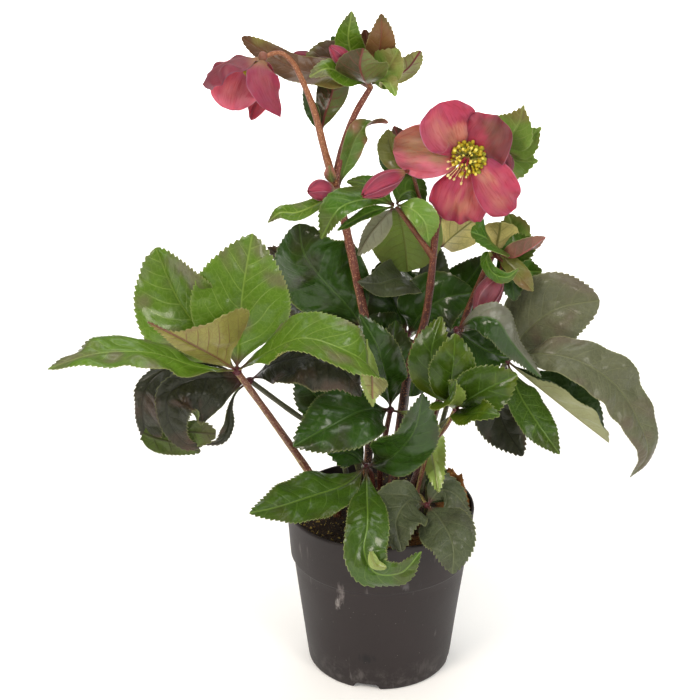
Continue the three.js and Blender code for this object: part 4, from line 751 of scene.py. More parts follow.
leaves = {
    # The bright leaf that reaches out to the front left.
    "leaf_left_front": dict(slot="leaf_young", stalkTone="pinkBrown", stalkRadius=(3.1, 2.3), stalk=[
        (-30, -4, 112), (-40, -10, 133), (-51, -20, 157), (-73, -45, 206), (-91, -65, 245)
    ], blades=[
        blade("fresh", rib=[(-107, -59, 261), (-127, -49, 286), (-141, -37, 316)], face=[(0, -0.8, 0.6),
            (-0.2, -0.9, 0.4)], width=62, fold=(2, 40), curl=(-14, 0), wave=2.2, peak=0.52, fullness=0.75),
        blade("fresh", rib=[(-89, -66, 269), (-86, -62, 297), (-80, -53, 330)], face=[(0, -0.85, 0.5),
            (0.1, -0.9, 0.4)], width=(62, 60), fold=(10, 8), curl=(0, -16), wave=1.6, peak=0.48),
        blade("fresh", rib=[(-114, -80, 254), (-140, -90, 267), (-171, -102, 271), (-198, -108, 264)],
            face=[(0, -0.25, 1), (0, -0.3, 0.95)], width=49, fold=(14, 0), curl=(0, -30)),
        blade("back", rib=[(-100, -84, 261), (-111, -102, 276), (-124, -112, 288), (-137, -114, 296)],
            face=[(0.1, 0.8, -0.3), (0.1, 0.9, 0.2)], width=(68, 20), fold=16, wave=0.6, peak=(0.42, 0.45),
            fullness=(4, 0.8)),
        blade("fresh", rib=[(-70, -80, 264), (-48, -94, 278), (-25, -100, 273), (-10, -94, 260),
            (-7, -80, 233)], face=[(0, -0.5, 0.85), (0, -0.5, 0.85), (0.1, -0.6, 0.8), (0.7, 0.5, 0.4)],
            width=40, fold=(4, 16), tipFold=(-4, 30), wave=1.6, peak=0.47, fullness=0.72),
        blade("pale", start=(-11, -74, 272), rib=[(-10, -76, 258), (-9, -76, 244), (-7, -72, 224)],
            face=[(0, 0.95, -0.1)], width=(11, 12), fold=8, wave=0.8, tooth=0.8, peak=0.55, fullness=0.9,
            base=0.6, wedge=0.2, loose=True),
    ]),
    # The wrinkled older leaf hanging under it, its leaflets curling in at the ends.
    "leaf_left_old": dict(slot="leaf_old", stalkTone="duskGreen", stalkRadius=(2.4, 1.9), stalk=[
        (-10, 8, 112), (-21, -4, 162), (-55, -22, 195), (-85, -40, 228)
    ], blades=[
        blade("old", rib=[(-101, -54, 236), (-120, -66, 239), (-133, -72, 232), (-134, -74, 219),
            (-129, -74, 206), (-122, -74, 199), (-113, -70, 197)], face=[(0, -0.7, 0.7), (-0.1, -0.95, 0.3),
            (-0.2, -0.95, 0.1), (-0.2, -0.97, 0), (0, -1, 0)], width=(58, 16), fold=6, curl=(-6, -10),
            wave=1.4, peak=(0.34, 0.45), fullness=(1.3, 0.5)),
        blade("old", rib=[(-114, -34, 236), (-139, -38, 234), (-151, -42, 224), (-154, -44, 209),
            (-152, -44, 186)], face=[(0, -0.4, 0.9), (-0.4, -0.6, 0.6), (-0.5, -0.85, 0.1),
            (-0.3, -0.95, 0)], width=(38, 13), fold=8, wave=1.2, peak=(0.62, 0.6), fullness=(0.36, 0.4)),
        blade("old", rib=[(-94, -38, 219), (-99, -36, 207), (-100, -34, 193), (-106, -32, 182),
            (-118, -30, 178)], face=[(0.6, -0.7, 0.3), (0.7, -0.7, 0.1), (0.2, -0.9, -0.4)], width=(8, 10),
            fold=10, peak=0.68),
        blade("old", rib=[(-66, -58, 248), (-42, -70, 256), (-24, -74, 248), (-14, -70, 230)],
            face=[(0, -0.45, 0.9), (0.1, -0.5, 0.85), (0.5, -0.7, 0.4)], width=40, fold=(4, -14),
            curl=(-10, -20), wave=2.4),
        blade("old", start=(-131, -70, 206), rib=[(-121, -70, 206), (-112, -70, 205), (-105, -69, 204)],
            face=[(0, 0.95, -0.3)], width=(18, 16), fold=-10, wave=0.3, tooth=0.8, fullness=0.6, base=4,
            wedge=0.05, loose=True),
        blade("old", start=(-156, -46, 195), rib=[(-147, -47, 191), (-133, -47, 187), (-118, -45, 180)],
            face=[(0, 0.9, -0.3), (0, 0.9, -0.4)], width=(18, 16), fold=-8, wave=0.8, tooth=0.8, peak=0.36,
            fullness=0.7, base=5, wedge=0.05, loose=True),
    ]),
    # The dark leaf in the middle, its broad leaflet drooping to the left.
    "leaf_mid_left": dict(slot="leaf_dark", stalkTone="redBrown", stalkRadius=(2.2, 1.9), stalk=[
        (0, 10, 112), (0, 4, 152), (3, -5, 174), (6, -12, 195)
    ], blades=[
        blade("dark", rib=[(-13, -36, 205), (-32, -53, 203), (-57, -64, 193)], face=[(0, -0.6, 0.8),
            (-0.1, -0.75, 0.65)], width=47, fold=(10, 12), curl=(-10, -22), wave=1.6),
        blade("dark", rib=[(-20, -14, 200), (-42, -24, 209), (-54, -28, 232)], face=[(0, -0.8, 0.5),
            (-0.2, -0.9, 0.3)], width=34, fold=(14, 20)),
        blade("dark", rib=[(3, -24, 222), (-4, -32, 249), (-15, -32, 270)], face=[(0.3, -0.9, 0.3)],
            width=28, fold=14),
        blade("dark", rib=[(5, 10, 206), (8, 20, 224), (10, 24, 245)], face=[(0.2, -0.9, 0.4)], width=34,
            fold=8),
        blade("pale", rib=[(21, -16, 191), (32, -30, 175), (37, -48, 152)], face=[(0.2, 0.95, 0.2)],
            width=21, fold=14),
    ]),
    # The low leaf at the front; one leaflet hangs over the rim and curls up again.
    "leaf_front_low": dict(slot="leaf_green", stalkTone="redBrown", stalkRadius=(1.8, 1.6), stalk=[
        (-4, 2, 112), (-6, -6, 143), (-10, -24, 159)
    ], blades=[
        blade("mid", rib=[(-24, -44, 156), (-47, -62, 156), (-67, -76, 156), (-84, -86, 157)],
            face=[(-0.1, -0.6, 0.8)], width=37, fold=10, curl=(-10, -16), wave=1.4),
        blade("mid", rib=[(-10, -50, 153), (-10, -78, 144), (-12, -88, 130), (-5, -92, 118), (11, -92, 118),
            (24, -92, 133)], face=[(0, -0.5, 0.85), (0, -0.95, 0.3), (0.1, -0.95, 0.2), (0.3, -0.9, -0.2),
            (-0.2, -0.85, 0.5)], width=28, fold=8),
        blade("dark", rib=[(6, -46, 177), (20, -61, 204), (24, -65, 230)], face=[(0.2, -0.8, 0.5),
            (0.4, -0.85, 0.3)], width=38, fold=12, curl=(0, -10), wave=1.6),
        blade("dark", rib=[(-21, -22, 168), (-36, -24, 170)], face=[(0, -0.6, 0.8)], width=26, fold=10),
        blade("pale", start=(-8, -95, 137), rib=[(-7, -96, 131), (-5, -96, 126), (2, -95, 123)],
            face=[(0, 0.95, -0.2)], width=7, fold=10, wave=0.2, tooth=0.2, fullness=0.5, base=1.5, wedge=0.1,
            loose=True),
    ]),
    # The small grey-green leaf that lies on the rim at the front right.
    "leaf_front_right_low": dict(slot="leaf_old", stalkTone="pinkBrown", stalkRadius=(1.8, 1.5), stalk=[
        (24, -12, 112), (26, -24, 137), (30, -36, 136)
    ], blades=[
        blade("slate", rib=[(18, -48, 146), (9, -64, 140), (12, -78, 125)], face=[(0, -0.7, 0.7),
            (-0.2, -0.9, 0.4)], width=38, fold=8, curl=-12),
        blade("slate", rib=[(38, -56, 136), (45, -74, 127), (45, -80, 110)], face=[(0.1, -0.8, 0.6),
            (0.2, -0.95, 0.2)], width=36, fold=8, curl=-12),
        blade("slate", rib=[(39, -34, 146), (48, -36, 145), (60, -44, 132)], face=[(0.1, -0.75, 0.6),
            (0.4, -0.8, 0.4)], width=(22.5, 34), fold=(0, -10), curl=(0, -20), peak=(0.28, 0.5),
            fullness=(1.6, 0.86)),
        blade("dark", rib=[(38, -24, 141), (42, -14, 153)], face=[(0, -0.8, 0.6)], width=20, fold=10),
    ]),
    # The large leaf at the right, with two long leaflets bent over at the ends.
    "leaf_right_large": dict(slot="leaf_old", stalkTone="duskGreen", stalkRadius=(2.2, 1.8), stalk=[
        (32, -2, 112), (37, -18, 182), (56, -12, 196), (74, -2, 208), (84, 6, 223)
    ], blades=[
        blade("ash", rib=[(92, 0, 242), (113, -6, 264), (141, -8, 271)], face=[(-0.2, -0.8, 0.5),
            (0, -0.85, 0.5)], width=53, fold=8, curl=(-14, -18), wave=3.2, tooth=0.8, fullness=0.62),
        blade("ash", rib=[(99, -24, 240), (123, -34, 240), (149, -34, 223), (165, -36, 200), (174, -36, 175),
            (165, -32, 155)], face=[(0, -0.5, 0.85), (0.2, -0.7, 0.7), (0.6, -0.7, 0.3), (0.5, -0.8, 0)],
            width=34, fold=8, curl=(0, -16), wave=2.4, tooth=0.6),
        blade("folded", rib=[(103, -4, 210), (129, -10, 190), (153, -12, 171)], face=[(0.2, -0.15, 1)],
            width=44, fold=(48, 54), peak=0.58),
        blade("mid", rib=[(92, -6, 204), (103, -20, 189), (118, -26, 169)], face=[(0.3, -0.8, 0.5)],
            width=26, fold=8, curl=-12, tooth=1),
        blade("old", rib=[(82, 18, 199), (84, 18, 174), (98, 6, 152)], face=[(0.1, -0.9, 0.3)], width=40,
            fold=6),
    ]),
    # The leaf right of the middle, one leaflet folded over on itself.
    "leaf_centre_right": dict(slot="leaf_dark", stalkTone="redBrown", stalkRadius=(2, 1.6), stalk=[
        (14, -8, 112), (29, -8, 162), (38, -16, 204), (44, -22, 235), (47, -30, 259)
    ], blades=[
        blade("veiled", rib=[(59, -42, 272), (70, -48, 272), (81, -46, 256), (101, -40, 230)],
            face=[(-0.1, -0.7, 0.7), (0.1, -0.8, 0.6), (0.3, -0.85, 0.3)], width=(30, 24), fold=(-20, -10),
            tipFold=(-42, -24), wave=1.4, peak=(0.42, 0.3), fullness=(0.7, 0.9)),
        blade("dark", rib=[(59, -24, 247), (71, -20, 239), (83, -20, 236)], face=[(0, -0.8, 0.6)], width=28,
            fold=8),
    ]),
    # The small young leaf at the front.
    "leaf_front_young": dict(slot="leaf_young", stalkTone="pinkBrown", stalkRadius=(1.8, 1.5), stalk=[
        (20, -22, 112), (31, -40, 180), (41, -48, 200), (46, -52, 214)
    ], blades=[
        blade("young", rib=[(35, -52, 228), (30, -52, 252), (36, -44, 273)], face=[(-0.4, -0.85, 0.3)],
            width=29, fold=12),
        blade("young", rib=[(42, -60, 233), (43, -62, 251), (44, -58, 267)], face=[(0, -0.85, 0.5)],
            width=30, fold=14, peak=0.55),
        blade("young", rib=[(55, -68, 229), (67, -76, 240), (81, -78, 248)], face=[(0.1, -0.85, 0.5)],
            width=32, fold=(14, 6), peak=0.55),
        blade("young", rib=[(40, -72, 226), (40, -84, 238), (43, -90, 249)], face=[(-0.2, -0.6, 0.8)],
            width=24, fold=14),
        blade("young", rib=[(52, -74, 220), (60, -90, 228), (69, -96, 229)], face=[(0, -0.7, 0.7)], width=22,
            fold=(10, 6)),
    ]),
    # The tall leaf behind at the left.
    "leaf_upper_left": dict(slot="leaf_dark", stalkTone="duskGreen", stalkRadius=(2.2, 1.9), stalk=[
        (-18, 18, 112), (-6, 20, 158), (-7, 24, 198), (-10, 20, 238)
    ], blades=[
        blade("dark", rib=[(-24, 13, 261), (-39, 8, 280), (-51, 3, 300), (-54, 8, 318)],
            face=[(-0.2, -0.85, 0.5)], width=61, fold=(-24, 6), curl=(-10, -14), wave=2.6, tooth=0.7,
            peak=0.56, fullness=0.62),
        blade("old", rib=[(-38, 40, 257), (-61, 46, 278), (-77, 46, 290)], face=[(-0.2, -0.75, 0.6)],
            width=32, fold=8, tooth=0.8),
        blade("old", rib=[(-32, 22, 245), (-52, 24, 256), (-68, 26, 262)], face=[(-0.1, -0.6, 0.8)],
            width=40, fold=6),
    ]),
    # The tall leaf behind the middle.
    "leaf_back_centre": dict(slot="leaf_dark", stalkTone="duskGreen", stalkRadius=(2.2, 1.9), stalk=[
        (8, 30, 112), (17, 36, 166), (20, 42, 201), (19, 44, 227)
    ], blades=[
        blade("dark", rib=[(29, 30, 249), (42, 24, 261), (63, 22, 266)], face=[(0, -0.9, 0.35)], width=44,
            fold=6, curl=(-14, 0), tooth=0.6),
        blade("slate", rib=[(28, 56, 254), (14, 32, 272), (-3, 10, 276), (-16, -6, 283)],
            face=[(0.3, -0.9, 0.2), (0, -0.5, 0.85), (-0.1, -0.85, 0.5), (-0.1, -0.9, 0.3)], width=30,
            fold=10, tooth=0.3),
        blade("dark", rib=[(12, 46, 243), (5, 48, 260), (-1, 46, 279)], face=[(0, -0.7, 0.7)], width=46,
            fold=6),
        blade("dark", rib=[(47, 46, 249), (62, 44, 269), (72, 42, 286)], face=[(0, -0.8, 0.55)], width=36,
            fold=8, tooth=0.6),
        blade("slate", rib=[(31, 50, 256), (36, 48, 274), (40, 46, 290)], face=[(0.3, -0.8, 0.5)], width=30,
            fold=(30, 8), tooth=0.6),
        blade("dark", rib=[(11, 34, 228), (2, 30, 234), (-9, 30, 245)], face=[(0, -0.8, 0.6)], width=34,
            fold=6, curl=-8, tooth=0.6, fullness=0.7),
        blade("dark", rib=[(22, 34, 218), (23, 28, 206), (21, 26, 188)], face=[(0, -0.9, 0.4)], width=40,
            fold=6, curl=-8, tooth=0.6, fullness=0.7),
    ]),
    # A leaf at the back left.
    "leaf_back_left": dict(slot="leaf_old", stalkTone="duskGreen", stalkRadius=(2.2, 1.9), stalk=[
        (-22, 28, 112), (-30, 44, 160), (-35, 62, 205)
    ], blades=[
        blade("old", rib=[(-50, 66, 228), (-64, 72, 240), (-78, 80, 236)], face=[(0, -0.2, 1),
            (-0.4, -0.1, 0.9)], width=36, fold=12),
        blade("old", rib=[(-44, 82, 226), (-54, 104, 234), (-62, 124, 226)], face=[(0, -0.3, 1),
            (-0.2, 0.4, 0.9)], width=34, fold=12),
        blade("dark", rib=[(-30, 86, 212), (-24, 112, 210), (-20, 138, 194)], face=[(0, -0.3, 1),
            (0, 0.4, 0.9)], width=34, fold=12),
    ]),
    # A leaf at the back right.
    "leaf_back_right": dict(slot="leaf_dark", stalkTone="duskGreen", stalkRadius=(2.2, 1.9), stalk=[
        (30, 28, 112), (45, 50, 158), (56, 70, 192)
    ], blades=[
        blade("old", rib=[(72, 74, 212), (88, 82, 220), (104, 94, 210)], face=[(0, -0.2, 1),
            (0.4, 0.1, 0.9)], width=36, fold=12),
        blade("dark", rib=[(68, 88, 210), (82, 106, 212), (96, 122, 198)], face=[(0, -0.2, 1),
            (0.3, 0.4, 0.8)], width=32, fold=12),
        blade("dark", rib=[(57, 92, 196), (58, 116, 194), (60, 142, 178)], face=[(0, -0.2, 1),
            (0, 0.4, 0.9)], width=34, fold=12),
        blade("old", rib=[(44, 84, 208), (34, 100, 210), (24, 118, 196)], face=[(0, -0.2, 1),
            (-0.3, 0.3, 0.9)], width=34, fold=12),
    ]),
}

sprays = {
    # Where the front stem forks, below the open flower.
    "bracts_front_stem": dict(hub=(8, -8, 334), hubRadius=2.6, blades=[
        blade("green", rib=[(-8, -16, 341), (-27, -22, 337), (-39, -22, 317)], face=[(0, -0.6, 0.8),
            (-0.2, -0.8, 0.5)], width=(14, 24), fold=(10, 6), wave=2, tooth=0.9),
        blade("green", rib=[(-6, -12, 332), (-19, -14, 326), (-29, -14, 320)], face=[(0, -0.6, 0.8)],
            width=9, fold=10),
        blade("slate", start=(7, -8, 334), rib=[(1, -2, 325), (-8, 0, 313), (-16, 0, 299)],
            face=[(0.5, 0.7, 0.3), (0.6, 0.6, 0.2)], width=(12, 18), fold=8, tooth=0.6),
        blade("mid", rib=[(12, -2, 340), (19, 4, 341), (27, 6, 332)], face=[(0, -0.7, 0.7),
            (0.2, -0.8, 0.5)], width=22, fold=8),
        blade("pale", start=(8, -8, 335), rib=[(17, -16, 335), (25, -18, 328), (29, -12, 312)],
            face=[(0.1, -0.8, 0.5), (0.3, -0.9, 0.2)], width=(20, 14), fold=8),
        blade("green", rib=[(-1, -4, 341), (-12, -2, 347), (-23, 0, 348)], face=[(0, -0.7, 0.7)], width=14,
            fold=10),
        blade("pale", rib=[(13, 18, 313), (16, 30, 294), (18, 38, 275)], face=[(0, 0.9, 0.4),
            (-0.1, 0.95, 0.2)], width=(46, 56), fold=10, peak=0.6, fullness=0.34),
    ]),
    # A pale bract higher on the front stem.
    "bract_front_stem_pale": dict(hub=(36, 2, 302), hubRadius=5.2, blades=[
        blade("straw", rib=[(45, 10, 308), (53, 12, 314), (62, 12, 322)], face=[(-0.1, 0.9, 0.4)], width=36,
            fold=8, tooth=0.4),
    ]),
    # Small bracts left of the open flower.
    "bracts_flower_left": dict(hub=(14, -1, 354), hubRadius=2.2, blades=[
        blade("olive", rib=[(9, 7, 360), (5, 9, 369), (3, 7, 380)], face=[(-0.6, -0.7, 0.4),
            (-0.3, -0.9, 0.2)], width=20, fold=20, tooth=0.3),
        blade("blushed", rib=[(14, 14, 361), (11, 18, 370), (7, 16, 380)], face=[(0, 0.9, 0.3)], width=17,
            fold=16, tooth=0.3),
        blade("dark", rib=[(6, 16, 355), (1, 22, 360), (-3, 22, 365)], face=[(0, -0.9, 0.4)], width=14,
            fold=16, tooth=0.3),
    ]),
    # Bracts right of the open flower.
    "bracts_flower_right": dict(hub=(75, 16, 363), hubRadius=2.7, blades=[
        blade("lime", rib=[(81, 14, 373), (86, 12, 383), (88, 8, 395)], face=[(-0.3, -0.9, 0.3)], width=30,
            fold=(10, 16), tooth=0.8, peak=0.42, fullness=1.35),
        blade("lime", rib=[(84, 18, 367), (93, 16, 372), (100, 12, 380)], face=[(0, -0.9, 0.4)], width=24,
            fold=12, tooth=0.8, peak=0.45, fullness=1.3),
        blade("lime", rib=[(83, 18, 358), (91, 16, 357), (99, 12, 358)], face=[(0, -0.8, 0.5)], width=28,
            fold=12, tooth=0.8, peak=0.45, fullness=1.3),
    ]),
    # The ruff of bracts at the top of the right stem.
    "bracts_right_cluster": dict(hub=(73, 2, 301), hubRadius=3, blades=[
        blade("green", rib=[(70, -8, 309), (64, -16, 316), (55, -18, 320)], face=[(0.2, -0.5, 0.8),
            (-0.1, -0.6, 0.8)], width=32, fold=(14, 6), tooth=0.8, fullness=0.6),
        blade("green", rib=[(66, -12, 301), (70, -24, 295), (78, -28, 294), (85, -27, 299)],
            face=[(-0.5, -0.8, 0.3), (-0.2, -0.9, -0.3), (0.1, -0.9, -0.3)], width=11, fold=12, tooth=0.4),
        blade("blushed", rib=[(83, -8, 300), (92, -12, 306), (103, -12, 315)], face=[(0, 0.6, 0.8),
            (-0.1, 0.8, 0.5)], width=22, fold=(26, 22)),
        blade("straw", rib=[(75, 8, 306), (76, 8, 312), (76, 4, 320)], face=[(0.1, 0.95, 0.2)], width=26,
            fold=(10, 14), tooth=0.4),
        blade("lime", rib=[(82, 14, 305), (85, 14, 313), (82, 12, 323)], face=[(-0.2, -0.9, 0.3)], width=28,
            fold=12, tooth=0.9),
        blade("green", rib=[(84, 4, 301), (92, 2, 304), (99, -2, 309)], face=[(0, -0.8, 0.5)], width=20,
            fold=12, tooth=1.2),
        blade("green", rib=[(86, 12, 289), (96, 13, 284), (105, 9, 285)], face=[(0.1, -0.85, 0.5)], width=22,
            fold=12, tooth=0.8),
        blade("olive", rib=[(83, -8, 294), (90, -13, 287), (97, -13, 279)], face=[(0.3, -0.8, 0.5)],
            width=14, fold=(24, 10), tooth=0.4),
        blade("dark", rib=[(80, -3, 290), (84, -5, 280), (86, -6, 270)], face=[(0.2, -0.9, 0.3)], width=18,
            fold=10, tooth=0.8),
    ]),
    # At the fork of the left stem.
    "bracts_stem_left": dict(hub=(-29, 2, 342), hubRadius=4.4, blades=[
        blade("blushed", rib=[(-22, 6, 362), (-17, 4, 376), (-9, 2, 384), (3, 0, 386)],
            face=[(0.3, -0.9, 0.3), (0.3, -0.9, 0.3), (0.1, 0.6, 0.8)], width=15, fold=16, tooth=0.2,
            peak=0.6, fullness=0.45),
        blade("fresh", rib=[(-41, -8, 336), (-55, -12, 331), (-65, -12, 331), (-73, -10, 324)],
            face=[(0, -0.6, 0.8), (-0.1, -0.7, 0.7), (-0.4, -0.8, 0.4)], width=12, fold=10, tooth=0.3),
        blade("blushed", start=(-30, -2, 346), rib=[(-33, -6, 353), (-34, -6, 360)],
            face=[(-0.2, -0.9, 0.2)], width=8, fold=20, tooth=0.2, fullness=0.6),
    ]),
    # A cupped bract halfway up the left branch.
    "bract_left_fork": dict(hub=(-39, -3, 379), hubRadius=3.6, blades=[
        blade("cupped", rib=[(-37, 10, 388), (-33, 15, 399), (-29, 18, 415)], face=[(0.1, 0.9, 0.3)],
            width=21, fold=16, tooth=0.3, peak=0.72, fullness=0.5),
        blade("dark", rib=[(-43, 10, 388), (-47, 10, 397), (-50, 8, 405)], face=[(-0.3, -0.9, 0.3)], width=9,
            fold=14, tooth=0.6),
    ]),
    # The ruff of green and brownish bracts at the very top.
    "bracts_top": dict(hub=(-8, 15, 407), hubRadius=3.4, blades=[
        blade("fresh", rib=[(-17, 16, 419), (-22, 12, 435), (-20, 8, 453)], face=[(-0.1, -0.9, 0.4),
            (0.1, -0.95, 0.2)], width=19, fold=16),
        blade("lime", rib=[(0, 8, 415), (5, 4, 423), (9, 2, 431)], face=[(-0.2, -0.85, 0.5)], width=26,
            fold=14, tooth=0.6),
        blade("fresh", rib=[(5, 18, 410), (15, 18, 416), (23, 14, 428)], face=[(0, 0.8, 0.6)], width=20,
            fold=14, tooth=0.6),
        blade("dark", rib=[(-18, 33, 416), (-27, 40, 426), (-33, 42, 432)], face=[(0.1, -0.9, 0.3)],
            width=18, fold=10),
        blade("fresh", rib=[(-23, 8, 413), (-35, 2, 419), (-46, -3, 415)], face=[(0, -0.7, 0.7),
            (-0.1, -0.8, 0.5)], width=15, fold=8, tooth=0.7),
        blade("lime", rib=[(1, 2, 412), (4, -6, 411), (7, -8, 404)], face=[(-0.3, -0.8, 0.4),
            (0.3, -0.9, 0.3)], width=12, fold=10, tooth=0.4),
        blade("amber", rib=[(-4, 12, 421), (-2, 4, 437), (-2, -2, 453)], face=[(0.1, -0.9, 0.3)], width=19,
            fold=10, tooth=0.6),
        blade("cupped", rib=[(-12, 0, 412), (-15, -11, 424), (-13, -12, 434)], face=[(0.1, 0.6, 0.8),
            (0, 0.9, 0.3)], width=34, fold=(12, 18), tooth=0.3, peak=0.55),
        blade("brown", rib=[(-9, 26, 419), (-10, 24, 430), (-12, 20, 440)], face=[(0, 0.9, 0.3)], width=16,
            fold=10),
        blade("bronze", rib=[(-33, 12, 413), (-55, 12, 417), (-74, 10, 428), (-88, 10, 437)],
            face=[(0, -0.6, 0.8), (0, -0.75, 0.65)], width=22, fold=6, peak=0.42, fullness=0.55),
        blade("umber", rib=[(-23, 22, 415), (-35, 24, 422), (-50, 20, 421)], face=[(0, -0.7, 0.7)], width=26,
            fold=10, tooth=0.7),
    ]),
}


laminaLooks = {
    "leaf_young": dict(rough=0.36, coat=0.28, net=0.16, side=0.5, middle=0.62, blister=0.7),
    "leaf_green": dict(rough=0.32, coat=0.45, net=0.14, side=0.4, blister=0.8),
    "leaf_dark": dict(rough=0.32, coat=0.42, net=0.16, side=0.42, blister=0.9),
    "leaf_old": dict(rough=0.38, coat=0.16, net=0.34, side=0.7, blister=1.0),
    "bract": dict(rough=0.36, coat=0.25, net=0.2, side=0.5, blister=0.5),
}
laminas = {name: laminaFinish(name, **look) for name, look in laminaLooks.items()}

for name, leaf in leaves.items():
    makeLeaf(name, leaf, laminas[leaf["slot"]])
print("leaflets made")


def makeSpray(name, spray, finish):
    heap = Heap()
    addBlades(heap, name, spray["blades"], bractForm, spray["hub"], spray["hubRadius"], 17)
    heap.keep(name + "_laminas", name, finish, sharpAngle)


for name, spray in sprays.items():
    makeSpray(name, spray, laminas["bract"])
print("bracts made")


# Stalks and stems

stems = {
    "flower_stem_front": dict(tone="russet", radius=(3.8, 2.2), path=[
        (6, -2, 112), (19, -2, 225), (28, -3, 255), (32, -3, 290), (34, 0, 315), (38, 6, 332), (47, 10, 349),
        (53, 6, 360)
    ], branches=[
        dict(radius=(2.2, 1.5), path=[(33, -2, 298), (20, -6, 317), (9, -8, 333)]),
        dict(radius=(1.5, 1.2), path=[(34, 0, 315), (27, 4, 326), (22, 2, 341), (18, 0, 354), (14, -6, 356),
            (11, -12, 356)]),
        dict(radius=(1.6, 1.2), path=[(40, 8, 335), (54, 20, 344), (67, 22, 356), (75, 16, 363)]),
        dict(radius=(1.2, 1), path=[(75, 18, 363), (75, 14, 364), (77, 9, 364)]),
    ]),
    "flower_stem_left": dict(tone="copper", radius=(3.5, 3), path=[
        (-10, 14, 112), (-7, 10, 192), (-10, 7, 245), (-16, 6, 277), (-22, 4, 308), (-27, 2, 332),
        (-31, 2, 347)
    ], branches=[
        dict(radius=(2.9, 1.6), path=[(-31, 2, 346), (-37, -2, 369), (-43, -5, 394), (-50, -7, 413),
            (-56, -9, 425), (-63, -11, 431), (-70, -12, 430), (-74, -12, 427)]),
        dict(radius=(2.8, 2.1), path=[(-31, 2, 346), (-25, 8, 370), (-18, 12, 388), (-8, 14, 405)]),
        dict(radius=(1.5, 1.2), path=[(-8, 14, 405), (-13, 8, 414), (-20, 3, 420)]),
        dict(radius=(1.5, 1.2), path=[(-8, 14, 405), (-21, 32, 408), (-39, 40, 416)]),
        dict(radius=(1.3, 1.1), path=[(-30, 2, 342), (-30, -3, 344), (-32, -7, 345)]),
    ]),
    "flower_stem_right": dict(tone="russet", radius=(3, 2.2), path=[
        (20, 8, 112), (40, 8, 195), (57, 6, 259), (66, 3, 285), (72, 2, 300)
    ], branches=[
        dict(radius=(1.3, 1.1), path=[(72, 2, 299), (77, -5, 296), (75, -10, 291)]),
    ]),
}

stalkBuild = dict(slim=0.9, sides=20, ridges=5, ridgeDepth=0.05, step=1.6, flare=0.3, flareLength=6)
soilLevel = dict(top=112, rootDepth=12, liftFoot=4)
# In each tone, foot is a painted shade for the low part of the stem, and streak colours the streaks and also
# a painted lit side.
stemTones = {
    "russet": dict(foot="2c130f", low="421813", high="662a1e", streak="6e3e22", speck="a8704e"),
    "copper": dict(foot="220e09", low="4c1e17", high="854133", streak="8e5a34", speck="d0a07a"),
    "pinkBrown": dict(foot="623428", low="7c4c34", high="a67850", streak="b2a454", speck="c8aa88"),
    "duskGreen": dict(foot="3c3c28", low="44432e", high="5c5a3c", streak="6a713f", speck="7e735a"),
    "redBrown": dict(foot="431a15", low="521f1a", high="74352b", streak="5c3c26", speck="b08670"),
}
# The foot's colour, a painted shade on the low part of each stem, fades out between two heights; then how
# much of each mark shows, and the surface.
stemLook = dict(shadeFrom=235, shadeTo=345, streaks=0.8, specks=0.8, roughness=0.42, relief=0.0003,
                coat=0.08)


def stalkPattern():
    # a ridged skin along each path, as thick as the path's own girth says
    grown = Pattern("stalk_skin", Sides="Int", Ridges="Float", Depth="Float", Finish="Material")
    path = grown.node("GeometryNodeMeshToCurve", None, {"Mesh": Wire(grown, grown.start.outputs[0])})
    ring = grown.node("GeometryNodeCurvePrimitiveCircle", None,
                      {"Resolution": grown.entry("Sides"), "Radius": 1.0}, "Curve")
    turn = grown.node("GeometryNodeSplineParameter", None, None, "Factor") * (2 * math.pi)
    lift = 1 + grown.entry("Depth") * grown.maths("COSINE", turn * grown.entry("Ridges"))
    spot = grown.node("GeometryNodeInputPosition")
    ringed = grown.node("GeometryNodeSetPosition", None, {
        "Geometry": ring, "Position": grown.scaled(spot, lift)})
    marked = grown.node("GeometryNodeStoreNamedAttribute", {"data_type": "FLOAT_VECTOR"},
                        {"Geometry": ringed, "Name": "around", "Value": spot})
    girth = grown.node("GeometryNodeInputNamedAttribute", {"data_type": "FLOAT"}, {"Name": "girth"})
    skin = grown.node("GeometryNodeCurveToMesh", None, {
        "Curve": path, "Profile Curve": marked, "Scale": girth, "Fill Caps": True})
    grown.finish(skin)
    return grown


def stemFinish(name, tone):
    # smooth skin with streaks along it and fine pale specks, with a painted shade low down and a painted lit
    # side
    stem = Finish(name, coatWeight=stemLook["coat"], coatRoughness=0.3, specularIORLevel=0.4)
    x, y, _ = stem.parts(stem.attribute("around"))
    run = stem.attribute("run", "Fac")
    skin = stem.join(x * 2.2, y * 2.2, run * 0.12)
    streaks = stem.noise(skin, 1.6, 3, 0.6)
    fine = stem.noise(stem.join(x * 6, y * 6, run * 1.1), 1.0, 3, 0.65)
    speckle = 1 - stem.rise(stem.cells(stem.join(x * 2.4, y * 2.4, run * 0.8), 1.0), 0.16, 0.42)
    colour = stem.mix(streaks, linearColour(tone["low"]), linearColour(tone["high"]))
    height = stem.parts(stem.places())[2]
    # painted shade: below these heights the stem is painted darker with the foot colour
    shaded = 1 - stem.rise(height + 60 * streaks, stemLook["shadeFrom"], stemLook["shadeTo"])
    colour = stem.mix(shaded, colour, linearColour(tone["foot"]))
    # the streaks, and a painted lit side: one side of each stem is painted lighter in the streak colour
    streaksAndLitSide = stem.rise(streaks - 0.2 * x + 0.08 * y, 0.46, 0.7)
    colour = stem.mix(streaksAndLitSide * stemLook["streaks"], colour, linearColour(tone["streak"]))
    specks = speckle * stem.rise(fine, 0.36, 0.56) * stemLook["specks"]
    colour = stem.mix(specks, colour, linearColour(tone["speck"]))
    stem.set(baseColor=stem.bright(colour, 0.66 + 0.62 * fine),
             roughness=stemLook["roughness"] + 0.2 * (fine - 0.5))
    stem.relief(streaks * 0.8 + fine * 0.3 - speckle * 0.2, stemLook["relief"], 0.7)
    return stem


